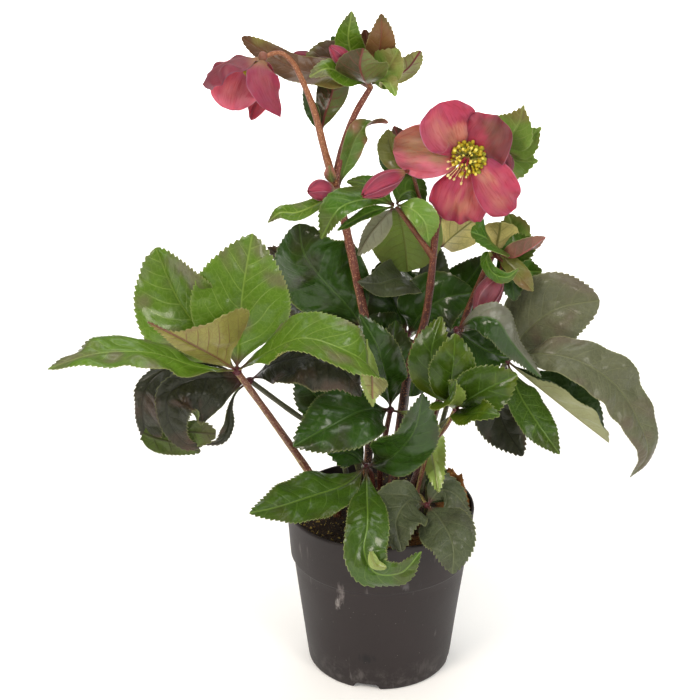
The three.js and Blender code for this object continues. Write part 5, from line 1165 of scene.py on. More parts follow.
def stalkPath(stops, radius, rooted=False, end=0.0, flare=0.0):
    # the line a stalk follows, with its girth
    stops = [list(p) for p in stops]
    if rooted:
        stops[0][2] += soilLevel["liftFoot"]
    _, reach = curveThrough(stops)
    count = max(6, round(reach[-1] / stalkBuild["step"]))
    shares = np.linspace(0, 1 - end / reach[-1], count)
    line, _, length = placesAlong(stops, shares)
    girth = blend(radius[0], radius[1], shares) * stalkBuild["slim"]
    girth = girth * (1 + flare * np.exp(-shares * length / stalkBuild["flareLength"]))
    girth = girth * (1 + 0.035 * ripple(line, 14, round(length * 10)))
    if rooted:
        foot = line[0].copy()
        foot[2] = soilLevel["top"] - soilLevel["rootDepth"]
        line, girth = np.vstack([foot, line]), np.concatenate([[radius[0] * 1.1], girth])
    # a rounded end
    tip = line[-1] + unit(line[-1] - line[-2])[None] * girth[-1] * np.array([[0.5], [0.8]])
    return np.vstack([line, tip]), np.concatenate([girth, girth[-1] * np.array([0.8, 0.35])])


def growStalks(name, lines, finish):
    # lines: (points, girths) for the stalk and each of its branches
    points = np.vstack([line for line, _ in lines])
    base = bpy.data.meshes.new(name)
    edges, start = [], 0
    for line, _ in lines:
        edges += [(start + k, start + k + 1) for k in range(len(line) - 1)]
        start += len(line)
    base.from_pydata((points * millimetre).tolist(), edges, [])
    steps = [np.concatenate([[0], np.cumsum(np.linalg.norm(np.diff(line, axis=0), axis=1))])
             for line, _ in lines]
    setAttribute(base, "girth", np.concatenate([girth for _, girth in lines]) * millimetre, "FLOAT")
    setAttribute(base, "run", np.concatenate(steps), "FLOAT")
    mesh = stalkSkin.grow(addObject(name + "_path", base), Sides=stalkBuild["sides"],
                          Ridges=float(stalkBuild["ridges"]), Depth=stalkBuild["ridgeDepth"],
                          Finish=finish.material)
    mesh.name = name
    return mesh


stalkSkin = stalkPattern()
stemFinishes = {tone: stemFinish("stem_" + tone, look) for tone, look in stemTones.items()}
for name, stem in stems.items():
    lines = [stalkPath(stem["path"], stem["radius"], rooted=True)]
    lines += [stalkPath(b["path"], b["radius"], flare=stalkBuild["flare"]) for b in stem["branches"]]
    title = name + "_skin"
    keepPiece(title, growStalks(title, lines, stemFinishes[stem["tone"]]), name)
for name, leaf in leaves.items():
    lines = [stalkPath(leaf["stalk"], leaf["stalkRadius"], rooted=True, end=1.2)]
    title = name + "_petiole"
    mesh = growStalks(title, lines, stemFinishes[leaf["stalkTone"]])
    keepPiece(title, mesh, name + "_stalk")
print("stalks and stems grown")


# Flowers

flowers = {
    # The open flower, facing the front.
    "front_flower": dict(hub=(53, -2, 364), hubRadius=4.6, axis=(-0.15, -0.98, 0.12), open=True, blades=[
        blade("rose", rib=[(45, -8, 378), (39, -13, 390), (34, -9, 400)], face=[(0.1, -0.9, 0.3),
            (0, -0.95, 0.1)], width=(40, 36), fold=(14, 10), curl=(-6, -26), wave=1.8, peak=0.62),
        blade("mauve", rib=[(60, -8, 375), (66, -9, 383), (70, -3, 391)], face=[(-0.1, -0.9, 0.3),
            (0.1, -0.95, 0.2)], width=(36, 40), fold=(6, 12), curl=(0, -16), peak=(0.62, 0.3),
            fullness=(0.56, 0.5)),
        blade("rose", start=(52, -2, 366), rib=[(61, -12, 357), (69, -17, 347), (81, -12, 331)],
            face=[(-0.1, -0.9, 0.4), (0, -0.95, 0.3)], width=(32, 26), fold=10, curl=(-10, -24),
            peak=(0.5, 0.66)),
        blade("rose", rib=[(51, -7, 352), (48, -8, 339), (46, 0, 321)], face=[(0, -0.95, 0.4),
            (-0.1, -0.95, 0.3)], width=38, fold=10, curl=-16, wave=2.2, peak=0.6, base=5.6),
        blade("tan", rib=[(39, -6, 367), (23, -6, 369), (6, 3, 367)], face=[(0.1, -0.95, 0.3),
            (-0.1, -0.95, 0.2)], width=34, fold=(10, 12), curl=-8, peak=0.56, base=5.6),
    ]),
    # The nodding flower at the upper left.
    "side_flower": dict(hub=(-74, -12, 428), hubRadius=4.2, axis=(-0.4, 0, -0.92), open=False, blades=[
        blade("dusk", rib=[(-89, -16, 428), (-102, -16, 423), (-110, -14, 412)], face=[(0, -0.2, 1),
            (-0.6, -0.2, 0.8)], width=34, fold=-16, peak=0.6),
        blade("pink", rib=[(-84, -8, 420), (-91, -10, 409), (-94, -12, 396)], face=[(0.3, 0.8, 0.4),
            (0.1, 0.95, 0)], width=32, fold=-12, peak=0.6),
        blade("wine", rib=[(-73, -24, 421), (-69, -27, 409), (-63, -22, 394)], face=[(0.3, -0.7, 0.6),
            (0.4, -0.9, 0.1)], width=(21, 22), fold=-14, peak=0.38, fullness=0.9),
        blade("wine", rib=[(-74, 2, 413), (-78, 8, 398), (-83, 6, 386)], face=[(0.4, 0.8, 0.3),
            (0.3, 0.9, 0)], width=14, fold=-12, peak=0.6),
        blade("dusk", rib=[(-78, 0, 420), (-83, 7, 412), (-88, 11, 404)], face=[(-0.2, 0.5, 0.8),
            (-0.6, 0.6, 0.4)], width=24, fold=-12, peak=0.6),
    ]),
}

tepalForm = dict(fullness=0.52, wedge=0.1, wave=0.8, base=3.4, camber=0.04, veinStep=9,
                 toothStep=3.6, quilt=0.0, groove=0.2, ridge=0.25, buckle=2.0, buckleSize=19,
                 frill=0.8, pleat=1.1)


def tepalTone(halves, outside, band, rim, foot, share):
    # the inside of its two halves, its outside, the band along its middle, its rim, its foot, and how
    # much of the band shows
    return dict(halves=halves, outside=outside, band=band, rim=rim, foot=foot, share=share)


tepalTones = {
    "rose": tepalTone(("943350", "902c4a"), "76344a", "b8906c", "9c7088", "9c8248", 0.5),
    # painted light: this tepal is painted lighter, for the light that shines through it
    "pink": tepalTone(("c4657c", "c4657c"), "b45c72", "c48c84", "a07a8c", "806840", 0.4),
    "tan": tepalTone(("b65c70", "80503f"), "7e4056", "94785a", "a06478", "9c8248", 0.9),
    # partly painted shade: its own mauve-brown, painted darker for the shade this tepal lies in
    "mauve": tepalTone(("862c42", "562228"), "784054", "5c4030", "94607a", "8e7e46", 0.7),
    # partly painted shade: painted darker for the shade the nodding flower's lower tepals hang in
    "wine": tepalTone(("7c2a44", "782644"), "762a3e", "80504a", "84627a", "806840", 0.4),
    "dusk": tepalTone(("682638", "682638"), "66283b", "6c4440", "584256", "806840", 0.4),
}
corollaHub = "7e5040"
tepalLook = dict(veins=0.45, veinTint="c86a82", roughness=0.5, relief=0.00045, sheen=0.12, glow=0.4)


def tepalPaint(shape, seed):
    # rose, clouded with tan-green along the middle, with a thin grey-violet rim
    tone = tepalTones[shape["tone"]]
    ink = {key: inkOf(tone[key]) for key in ("outside", "band", "rim", "foot")}
    halves = [inkOf(code) for code in tone["halves"]]

    def paint(t, lamina):
        share = lamina[..., 2]
        place = lamina[..., :2]
        cloud = ripple(place, 26, seed) + 0.35 * ripple(place * [0.25, 1], 4, seed + 1)
        along = t[:, None] * np.ones_like(share)
        band = np.exp(-(share / 0.5) ** 2) * smoothStep(along, 0.1, 0.4)
        band = band * (1 - smoothStep(along, 0.7, 0.97))
        band = np.clip(band * (0.7 + 0.75 * cloud), 0, 1) * tone["share"]
        foot = 1 - smoothStep(along, 0.04, 0.24)
        rim = smoothStep(np.abs(share), 0.965, 1) * 0.8
        inside = blend(halves[0], halves[1], smoothStep(share + 0.25 * cloud, -0.35, 0.35)[..., None])
        sides = []
        for colour, much in ((inside, 1.0), (ink["outside"] + 0 * inside, 0.8)):
            colour = blend(colour, ink["band"], (band * much)[..., None])
            colour = blend(colour, ink["foot"], (foot * 0.75)[..., None])
            sides.append(blend(colour, ink["rim"], rim[..., None]).reshape(-1, 4))
        return dict(tint=np.vstack(sides))
    return paint


def tepalFinish(name):
    # petal-soft surface with fine veins fanning along it
    tepal = Finish(name, subsurfaceWeight=tepalLook["glow"], subsurfaceScale=0.004,
                   sheenWeight=tepalLook["sheen"], sheenRoughness=0.4, specularIORLevel=0.35)
    along, across, share = tepal.parts(tepal.attribute("lamina"))
    _, seed, _ = tepal.parts(tepal.attribute("growth"))
    fan = tepal.join(share * 7, along * 0.05, seed)
    lines = tepal.noise(fan, 2.2, 2.5, 0.55)
    soft = tepal.noise(tepal.join(along, across, seed), 0.12, 3, 0.55)
    veins = tepal.rise(lines, 0.5, 0.66)
    colour = tepal.bright(tepal.attribute("tint", "Color"), 0.66 + 0.5 * soft + 0.22 * lines)
    deeper = tepal.mix(1.0, colour, linearColour(tepalLook["veinTint"]), "MULTIPLY")
    tepal.set(baseColor=tepal.mix(veins * tepalLook["veins"], colour, deeper),
              roughness=tepalLook["roughness"] + 0.16 * (soft - 0.5))
    tepal.relief(lines * 0.7 + soft * 0.6, tepalLook["relief"], 0.7)
    return tepal


def makeTepals(name, flower, finish):
    heap = Heap()
    for k, own in enumerate(flower["blades"]):
        shape = fullShape(own, tepalForm, flower["hub"], flower["hubRadius"])
        addBlade(heap, shape, 400 + k, tepalPaint(shape, 400 + k))
    seat = unit(np.array(flower["axis"], float)) * -0.25 * flower["hubRadius"]
    points, faces = knob(np.array(flower["hub"]) + seat, flower["hubRadius"] * 0.72, 9)
    heap.add(points, faces, **hubPlace, tint=inkOf(corollaHub))
    heap.keep(name + "_corolla", name + "_tepals", finish, sharpAngle)


def axisFrame(flower):
    # the seat of the heart, the flower's axis, and two ways across it
    along = unit(np.array(flower["axis"], float))
    first = unit(np.cross([0, 0, 1], along))
    seat = np.array(flower["hub"]) + along * 0.8 * flower["hubRadius"]
    return seat, along, first, np.cross(along, first)


def taperedRod(line, girths, sides=6):
    # a round rod through the points of line, closed at both ends
    line = np.asarray(line, float)
    along = unit(np.gradient(line, axis=0))
    first = unit(np.cross(along, [0.31, 0.91, 0.27]))
    second = np.cross(along, first)
    turn = np.arange(sides) * 2 * math.pi / sides
    rings = (line[:, None] + np.asarray(girths)[:, None, None]
             * (first[:, None] * np.cos(turn)[:, None] + second[:, None] * np.sin(turn)[:, None]))
    at = np.arange(len(line) * sides).reshape(len(line), sides)
    fan = np.arange(1, sides - 1)
    caps = np.vstack([np.stack([np.zeros_like(fan), fan + 1, fan], -1),
                      np.stack([np.zeros_like(fan), fan, fan + 1], -1) + at[-1, 0]])
    return rings.reshape(-1, 3), [ringQuads(at)[:, [0, 3, 2, 1]], caps]


def stamenShape(heap, length, bow, filament, anther, antherInk, filamentInk):
    # one stamen standing on the origin along z, bowed towards x
    t = np.linspace(0, 1, 7)
    line = np.stack([bow * t ** 2, 0 * t, length * t], 1)
    points, faces = taperedRod(line, filament * (1 - 0.35 * t), 5)
    heap.add(points, faces, tint=inkOf(filamentInk))
    u = np.linspace(-1, 1, 7)
    lean = unit(np.array([2 * bow, 0, length]) * [0.6, 1, 1])
    pod = line[-1] + (u[:, None] + 0.6) * lean * anther * 1.25
    swell = anther * np.sqrt(np.clip(1 - (u * 0.98) ** 2, 0.02, 1)) * (1 - 0.12 * np.cos(3 * u))
    points, faces = taperedRod(pod, swell, 6)
    heap.add(points, faces, tint=inkOf(antherInk))


def heartPattern():
    # sets one shape round a centre: even turns with some scatter, leaning outward by Lean
    ring = Pattern("heart_ring", Count="Int", Radius="Float", Lean="Float", Scatter="Float",
                   FirstTurn="Float", Sweep="Float", Least="Float", Most="Float", Seed="Int",
                   Shape="Object", Finish="Material")
    index = ring.node("GeometryNodeInputIndex")
    count = ring.entry("Count")

    def draw(low, high, step):
        return ring.node("FunctionNodeRandomValue", {"data_type": "FLOAT"}, {
            "Min_001": low, "Max_001": high, "ID": index, "Seed": ring.entry("Seed") + step}, "Value_001")

    turn = ring.entry("FirstTurn") + ring.entry("Sweep") * ((index + draw(-0.35, 0.35, 1)) / count)
    out = ring.entry("Radius") * draw(0.82, 1.18, 2)
    place = ring.join(out * ring.maths("COSINE", turn), out * ring.maths("SINE", turn), 0.0)
    points = ring.node("GeometryNodePoints", None, {"Count": count, "Position": place})
    lean = ring.entry("Lean") + ring.entry("Scatter") * draw(-1.0, 1.0, 3)
    size = draw(ring.entry("Least"), ring.entry("Most"), 4)
    shape = ring.node("GeometryNodeObjectInfo", None, {"Object": ring.entry("Shape"), "As Instance": True},
                      "Geometry")
    stood = ring.node("GeometryNodeInstanceOnPoints", None, {
        "Points": points, "Instance": shape, "Rotation": ring.join(0.0, lean, turn),
        "Scale": ring.join(size, size, size)})
    ring.finish(stood)
    return ring


heartLook = dict(roughness=0.55, relief=0.0002)


def heartFinish(name):
    # pollen-dusted, each part in its own colour
    heart = Finish(name, specularIORLevel=0.35, subsurfaceWeight=0.08, subsurfaceScale=0.0015)
    dust = heart.noise(heart.places(), 1.4, 3, 0.6)
    heart.set(baseColor=heart.bright(heart.attribute("tint", "Color"), 0.72 + 0.56 * dust),
              roughness=heartLook["roughness"] + 0.2 * (dust - 0.5))
    heart.relief(dust, heartLook["relief"], 0.5)
    return heart


# A stamen's length, bow, filament and anther radius; a nectary is a short thick one.
heartShapes = {
    "nectary": dict(length=5.4, bow=0.6, filament=1.1, anther=1.7, antherInk="8f8c22",
                    filamentInk="86902f"),
    "young": dict(length=8.2, bow=0.8, filament=0.26, anther=1.2, antherInk="a8961c",
                  filamentInk="a8a24a"),
    "pale": dict(length=8.8, bow=1.0, filament=0.26, anther=1.1, antherInk="dccd5c",
                 filamentInk="ccc680"),
    "ripe": dict(length=12.5, bow=2.2, filament=0.26, anther=0.85, antherInk="e6d690",
                 filamentInk="e0cc96"),
}
# Rings of a heart, from its middle outward; lean and scatter in degrees, turns as shares of a circle.
ringUsual = dict(first=0.0, sweep=1.0)
heartRings = [
    dict(shape="pale", count=9, radius=1.3, lean=8, scatter=12, sizes=(0.7, 1.0), first=0.1),
    dict(shape="young", count=14, radius=2.3, lean=26, scatter=15, sizes=(0.75, 1.1)),
    dict(shape="pale", count=18, radius=2.4, lean=30, scatter=18, sizes=(0.8, 1.1), first=0.3),
    dict(shape="young", count=28, radius=2.9, lean=43, scatter=15, sizes=(0.8, 1.1), first=0.74, sweep=0.82),
    dict(shape="nectary", count=14, radius=3.6, lean=58, scatter=10, sizes=(0.85, 1.2), first=0.84,
         sweep=0.62),
    dict(shape="ripe", count=12, radius=2.4, lean=58, scatter=20, sizes=(0.7, 1.1), first=0.44, sweep=0.34),
]
closedHeartRings = [dict(shape="young", count=14, radius=2.2, lean=16, scatter=8, sizes=(0.9, 1.2))]
carpelBuild = dict(count=4, length=8.5, spread=1.9, sag=4.5, girth=0.95, tipGirth=0.32, foot="9c9a50",
                   top="8e1f3c")


def readMesh(mesh):
    # a mesh's points in millimetres, its faces in blocks of one size, and its tint
    points = np.empty(len(mesh.vertices) * 3)
    mesh.vertices.foreach_get("co", points)
    tint = np.empty(len(mesh.vertices) * 4, np.float32)
    mesh.attributes["tint"].data.foreach_get("color", tint)
    sides = {}
    for face in mesh.polygons:
        sides.setdefault(len(face.vertices), []).append(tuple(face.vertices))
    return points.reshape(-1, 3) / millimetre, [np.array(f) for f in sides.values()], tint.reshape(-1, 4)


def growRing(ring, seed, finish):
    # one ring of a heart, grown about z
    model = Heap()
    stamenShape(model, **heartShapes[ring["shape"]])
    shape = addObject("shape", model.mesh("shape", finish))
    holder = addObject("holder", bpy.data.meshes.new("holder"))
    grown = heartRing.grow(holder, Count=ring["count"], Radius=ring["radius"] * millimetre,
                           Lean=math.radians(ring["lean"]), Scatter=math.radians(ring["scatter"]),
                           FirstTurn=ring["first"] * 2 * math.pi, Sweep=ring["sweep"] * 2 * math.pi,
                           Least=ring["sizes"][0], Most=ring["sizes"][1], Seed=seed,
                           Shape=shape, Finish=finish.material)
    bpy.data.objects.remove(shape)
    return readMesh(grown)


def makeHeart(name, rings, flower, finish):
    # joins the rings and stands them on the flower's seat
    seat, along, first, second = axisFrame(flower)
    turnTo = np.stack([first, second, along])
    heap = Heap()
    for k, ring in enumerate(rings):
        points, faces, tint = growRing({**ringUsual, **ring}, 11 * (k + 1), finish)
        heap.add(seat + points @ turnTo, faces, tint=tint)
    heap.keep(name + "_heart", name + "_stamens", finish)


def carpelGirth(t):
    taper = 0.75 + 0.5 * np.sin(math.pi * np.minimum(t * 1.6, 1))
    return carpelBuild["girth"] * (1 - t) ** 0.6 * taper + carpelBuild["tipGirth"]


def makeCarpels(name, flower, finish):
    # a few slender carpels in the middle, dark red above
    seat, along, first, second = axisFrame(flower)
    foot, top = inkOf(carpelBuild["foot"]), inkOf(carpelBuild["top"])
    t = np.linspace(0, 1, 12)[:, None]
    sides = 10
    heap = Heap()
    for k in range(carpelBuild["count"]):
        turn = 2 * math.pi * (k + 0.3) / carpelBuild["count"]
        aside = first * math.cos(turn) + second * math.sin(turn)
        sag = (-0.5 * first - second) * carpelBuild["sag"] * t ** 1.5
        out = aside * (0.8 + carpelBuild["spread"] * t)
        line = seat + out + sag + along * (0.4 + carpelBuild["length"] * t)
        points, faces = taperedRod(line, carpelGirth(t[:, 0]), sides)
        ink = blend(foot, top, smoothStep(t, 0.1, 0.55))
        heap.add(points, faces, tint=np.repeat(ink, sides, 0))
    heap.keep(name + "_pistils", name + "_carpels", finish)


corolla = tepalFinish("tepal")
heart = heartFinish("stamen")
pistil = heartFinish("carpel")
heartRing = heartPattern()
for name, flower in flowers.items():
    makeTepals(name, flower, corolla)
    makeHeart(name, heartRings if flower["open"] else closedHeartRings, flower, heart)
makeCarpels("front_flower", flowers["front_flower"], pistil)
print("flowers made")


# Buds

buds = {
    "bud_front": dict(base=(12, -8, 356), tip=(-13, -32, 348), width=14, tone="rosy"),
    "bud_left": dict(base=(-32, -8, 346), tip=(-47, -16, 346), width=13, tone="rosy"),
    "bud_top": dict(base=(-20, 3, 420), tip=(-33, 0, 433), width=10, tone="rosy"),
    "bud_top_left": dict(base=(-39, 40, 416), tip=(-57, 38, 422), width=8, tone="wine"),
    "bud_right": dict(base=(75, -10, 290), tip=(61, -20, 265), width=17, tone="dusty"),
    "bud_flower_right": dict(base=(76, 11, 365), tip=(81, 0, 355), width=8, tone="dusty"),
}

budBuild = dict(tepals=5, rows=26, columns=17, wrap=1.05, thickness=0.55, lap=0.24)
budTones = {
    "rosy": dict(body="923049", shade="5e1e34", foot="85703f", rim="b87488"),
    "wine": dict(body="742439", shade="501a2d", foot="6f6440", rim="a05a70"),
    # partly painted shade: painted darker for the shade the bud at the right hangs in
    "dusty": dict(body="793844", shade="562631", foot="857044", rim="b8808c"),
}


def budProfile(t):
    # a bud's radius along it, as a share of its greatest
    return np.maximum(0.05, np.clip(np.sin(math.pi * (0.1 + 0.86 * t) ** 1.15), 0, 1) ** 0.8)


def budSheet(bud, k, t, s):
    # the middle sheet of one closed tepal, with one edge outside its neighbour and one inside
    base, tip = np.array(bud["base"], float), np.array(bud["tip"], float)
    along = unit(tip - base)
    first = unit(np.cross([0.1, 0, 1], along))
    second = np.cross(along, first)
    narrow = np.clip(np.sin(math.pi * np.clip(0.08 + 0.9 * t, 0, 1)) ** 0.35, 0.12, 1)[:, None]
    turn = 2 * math.pi * k / budBuild["tepals"] + 0.7 * t[:, None] + budBuild["wrap"] * s[None] * narrow
    keel = 1 + 0.05 * np.exp(-(s / 0.14) ** 2)[None]
    lap = 0.94 + budBuild["lap"] * 0.5 * s[None]
    radius = 0.5 * bud["width"] * budProfile(t)[:, None] * lap * keel
    centre = base + along * np.linalg.norm(tip - base) * t[:, None]
    return (centre[:, None] + first * (radius * np.cos(turn))[..., None]
            + second * (radius * np.sin(turn))[..., None])


def budPaint(tone, rise, share):
    # darker towards the sides of each tepal, greenish at its foot and paler along its edge
    ink = {key: inkOf(code) for key, code in budTones[tone].items()}
    colour = blend(ink["body"], ink["shade"], smoothStep(np.abs(share), 0.2, 0.9)[..., None] * 0.6)
    colour = blend(colour, ink["foot"], ((1 - smoothStep(rise, 0.02, 0.28)) * 0.8)[..., None])
    return blend(colour, ink["rim"], (smoothStep(np.abs(share), 0.9, 1) * 0.6)[..., None]).reshape(-1, 4)


def makeBud(name, bud, finish):
    length = np.linalg.norm(np.subtract(bud["tip"], bud["base"]))
    t = np.linspace(0, 1, budBuild["rows"])
    s = np.linspace(-1, 1, budBuild["columns"])
    rise, share = np.meshgrid(t, s, indexing="ij")
    place = np.stack([rise * length, share * bud["width"] * 0.6, share], -1).reshape(-1, 3)
    colour = budPaint(bud["tone"], rise, share)
    thick = budBuild["thickness"] * (1 - 0.5 * np.abs(s) ** 3)[None, :, None]
    heap = Heap()
    for k in range(budBuild["tepals"]):
        grid = budSheet(bud, k, t, s)
        lift = sheetNormals(grid) * thick / 2
        points = np.vstack([(grid + lift).reshape(-1, 3), (grid - lift).reshape(-1, 3)])
        heap.add(points, sheetFaces(len(t), len(s)), tint=np.tile(colour, (2, 1)),
                 lamina=np.tile(place, (2, 1)), growth=np.array([7, k * 1.7 + 0.4, 1]))
    heap.keep(name + "_wrapped", name, finish, sharpAngle)


for name, bud in buds.items():
    makeBud(name, bud, corolla)
print("buds made")


# Pot

# Moulded plastic is never quite round: the wall wobbles as noise read on a drum of wobbleRadius says.
potBuild = dict(rim=65, collar=62.4, collarStep=2, base=50.5, height=119.5, collarHeight=37, wall=1.8,
                footHeight=3, floor=2.4, centreFoot=26, footRing=5, sides=160, notches=4,
                notchWidth=18, notchHeight=4.4, notchTurn=-11, sharpAngle=38, wobble=0.16,
                wobbleSize=55, wobbleRadius=40)
potTones = dict(dark="201b1b", light="2d2526", speck="8d8580", scuff="a39c99", dust="6f6966")
# How much of each shows, how high up the dust reaches, and the surface under them.
potLook = dict(specks=0.5, scuffs=0.16, dust=0.35, dustHeight=26.0, roughness=0.43, relief=0.0004)
potShoulder = potBuild["height"] - potBuild["collarHeight"]


def potProfile():
    # (radius, height) from the middle of the underside, out and up, over the rim and down inside
    p = potBuild
    base, rim, collar, foot, top = p["base"], p["rim"], p["collar"], p["footHeight"], p["height"]
    body = collar - p["collarStep"]
    shoulder = potShoulder
    floor = foot + p["floor"]
    ringInside = base - p["footRing"]
    underside = [(0.01, 0), (p["centreFoot"], 0), (p["centreFoot"] + 2, foot), (ringInside, foot),
                 (ringInside + 1, 0.25), (ringInside + 1.4, 0), (base - 1.6, 0), (base - 0.7, 0.3),
                 (base, 1.2)]
    wall = [(blend(base, body, z / shoulder), z) for z in np.linspace(3, shoulder - 0.9, 14)]
    step = [(body + 0.15, shoulder - 0.25), (body + 0.9, shoulder + 0.25),
            (collar - 0.5, shoulder + 0.7), (collar - 0.08, shoulder + 1.4)]
    band = [(blend(collar, rim, u), shoulder + 2 + u * (p["collarHeight"] - 4.2))
            for u in np.linspace(0, 1, 7)]
    lip = [(rim + 0.12, top - 1.4), (rim - 0.05, top - 0.5), (rim - 0.5, top - 0.05), (rim - 1.2, top),
           (rim - 1.65, top - 0.3), (rim - p["wall"], top - 1)]
    inner = [(collar - p["wall"] - 0.4, shoulder + 2.2), (body - p["wall"], shoulder - 1),
             (base - p["wall"] + 0.8, floor + 2), (base - p["wall"] - 1.5, floor), (0.01, floor)]
    return np.array(underside + wall + step + band + lip + inner)


def potTurns():
    # where the profile is drawn round the pot, in degrees, closer at the ends of the foot's notches
    turns = list(np.arange(potBuild["sides"]) * 360 / potBuild["sides"])
    reach = math.degrees(potBuild["notchWidth"] / 2 / potBuild["base"])
    notches = []
    for k in range(potBuild["notches"]):
        middle = potBuild["notchTurn"] + 360 * k / potBuild["notches"]
        notches += [(middle - reach, middle + reach)]
        turns += [middle + side * (reach + step) for side in (-1, 1) for step in (-3, -2, -1, 0, 1)]
    turns = np.array(sorted(t % 360 for t in turns))
    return turns[np.concatenate([[True], np.diff(turns) > 0.12])], notches


def notchCut(turns, notches):
    # how high the foot is cut away at each turn
    cut = np.zeros(len(turns))
    for low, high in notches:
        inside = np.minimum((turns - low + 180) % 360 - 180, (high - turns + 180) % 360 - 180)
        cut = np.maximum(cut, potBuild["notchHeight"] * smoothStep(inside, -0.6, 3) ** 0.5)
    return cut


def makePot(finish):
    profile = potProfile()
    turns, notches = potTurns()
    angle = np.radians(turns)[:, None]
    radius = np.broadcast_to(profile[:, 0], (len(turns), len(profile)))
    height = np.broadcast_to(profile[:, 1], radius.shape)
    cut = np.minimum(notchCut(turns, notches)[:, None], height + potBuild["notchHeight"])
    footRing = radius > potBuild["centreFoot"] + 4
    height = np.where(footRing, np.maximum(height, cut), height)
    drum = potBuild["wobbleRadius"] + 0 * radius
    drum = np.stack([np.cos(angle) * drum, np.sin(angle) * drum, height], -1)
    wobble = potBuild["wobble"] * ripple(drum, potBuild["wobbleSize"], 3)
    radius = radius + wobble * smoothStep(radius, 30, 45) * smoothStep(height, 3, 20)
    points = np.stack([radius * np.cos(angle), radius * np.sin(angle), height], -1)
    at = np.arange(radius.size).reshape(radius.shape)
    after = np.roll(at, -1, 0)
    quads = np.stack([at[:, :-1], after[:, :-1], after[:, 1:], at[:, 1:]], -1).reshape(-1, 4)
    mesh = makeMesh("nursery_pot", points.reshape(-1, 3), quads, finish, potBuild["sharpAngle"])
    keepPiece("nursery_pot", mesh, "pot")


# Scuffs and spots on the front: how far to the right, how high, half width, half height, colour, strength.
potMarks = [
    (-27, 80, 3, 10, "8a8280", 0.5),
    (-29, 69, 1.8, 6, "c0b8b4", 0.6),
    (16, 88, 3.2, 3.6, "6a6668", 0.5),
    (-10, 27, 6, 5, "141315", 0.8),
    (-14, 12, 3, 6, "6c6664", 0.35),
    (30, 14, 6, 7, "5a5452", 0.3),
]


def potFinish(name):
    # thin moulded plastic: near black, slightly warm, with dust, fine scratches and pale scuffs
    pot = Finish(name, specularIORLevel=0.27, coatWeight=0.04, coatRoughness=0.3)
    place = pot.places()
    x, y, z = pot.parts(place)
    cloud = pot.noise(place, 0.025, 3, 0.6)
    grain = pot.noise(place, 1.6, 3, 0.7)
    rings = pot.noise(pot.join(x * 0.03, y * 0.03, z * 0.9), 1.0, 3, 0.6)
    specks = 1 - pot.rise(pot.cells(place, 0.19), 0.02, 0.07)
    scuffs = pot.rise(pot.noise(pot.join(x * 0.5, y * 0.5, z * 0.12), 0.35, 2, 0.5), 0.67, 0.8)
    ink = {key: linearColour(code) for key, code in potTones.items()}
    colour = pot.mix(cloud, ink["dark"], ink["light"])
    colour = pot.mix(specks * potLook["specks"], colour, ink["speck"])
    colour = pot.mix(scuffs * potLook["scuffs"], colour, ink["scuff"])
    low = 1 - pot.rise(z, 2.0, potLook["dustHeight"])
    dusty = low * pot.rise(pot.noise(place, 0.12, 4, 0.7), 0.45, 0.75)
    colour = pot.mix(dusty * potLook["dust"], colour, ink["dust"])
    front = 1 - pot.rise(y, -20.0, 0.0)
    streak = pot.noise(pot.join(x, y, z * 0.25), 0.5, 3, 0.7)
    for markX, markZ, wide, tall, markTone, much in potMarks:
        away = pot.maths("SQRT", ((x - markX) / wide) ** 2 + ((z - markZ) / tall) ** 2)
        mark = front * (1 - pot.rise(away + 2.4 * (streak - 0.5), 0.1, 1.1))
        colour = pot.mix(mark * much, colour, linearColour(markTone))
    pot.set(baseColor=pot.bright(colour, 0.88 + 0.2 * grain),
            roughness=potLook["roughness"] + 0.16 * cloud + 0.08 * grain)
    pot.relief(grain * 0.35 + rings * 0.3 + cloud * 2.0, potLook["relief"], 0.4)
    return pot


makePot(potFinish("pot"))
print("pot made")


# Peat

peatBuild = dict(rings=26, turns=96, rimGap=0.7, crumbs=3600, crumbSize=1.0, seed=5)
# Its top: lumps of two heights, a low heap at the back right, a bank above the rim there, which is
# centred on a turn in radians and grows between two shares of the radius, and a sunk edge.
peatTop = dict(lumps=(0.9, 0.7), heapPlace=(40, 34), heapSize=15, heapHeight=3.5, bankTurn=0.3,
               bankSpread=0.45, bankFrom=0.6, bankTo=0.93, bankHeight=19, sunkBy=1.8)
# Its colours from the darkest crumb to pale grit, and the rusty tint of whatever stands above a height.
peatStops = ((0.0, "140e09"), (0.45, "2a1d13"), (0.72, "4a3420"), (0.86, "8f7d42"), (1.0, "c6b87c"))
peatLook = dict(rust="94602c", rustFrom=116.0, rustTo=121.0, rustShare=0.7, roughness=0.72,
                relief=0.0008)


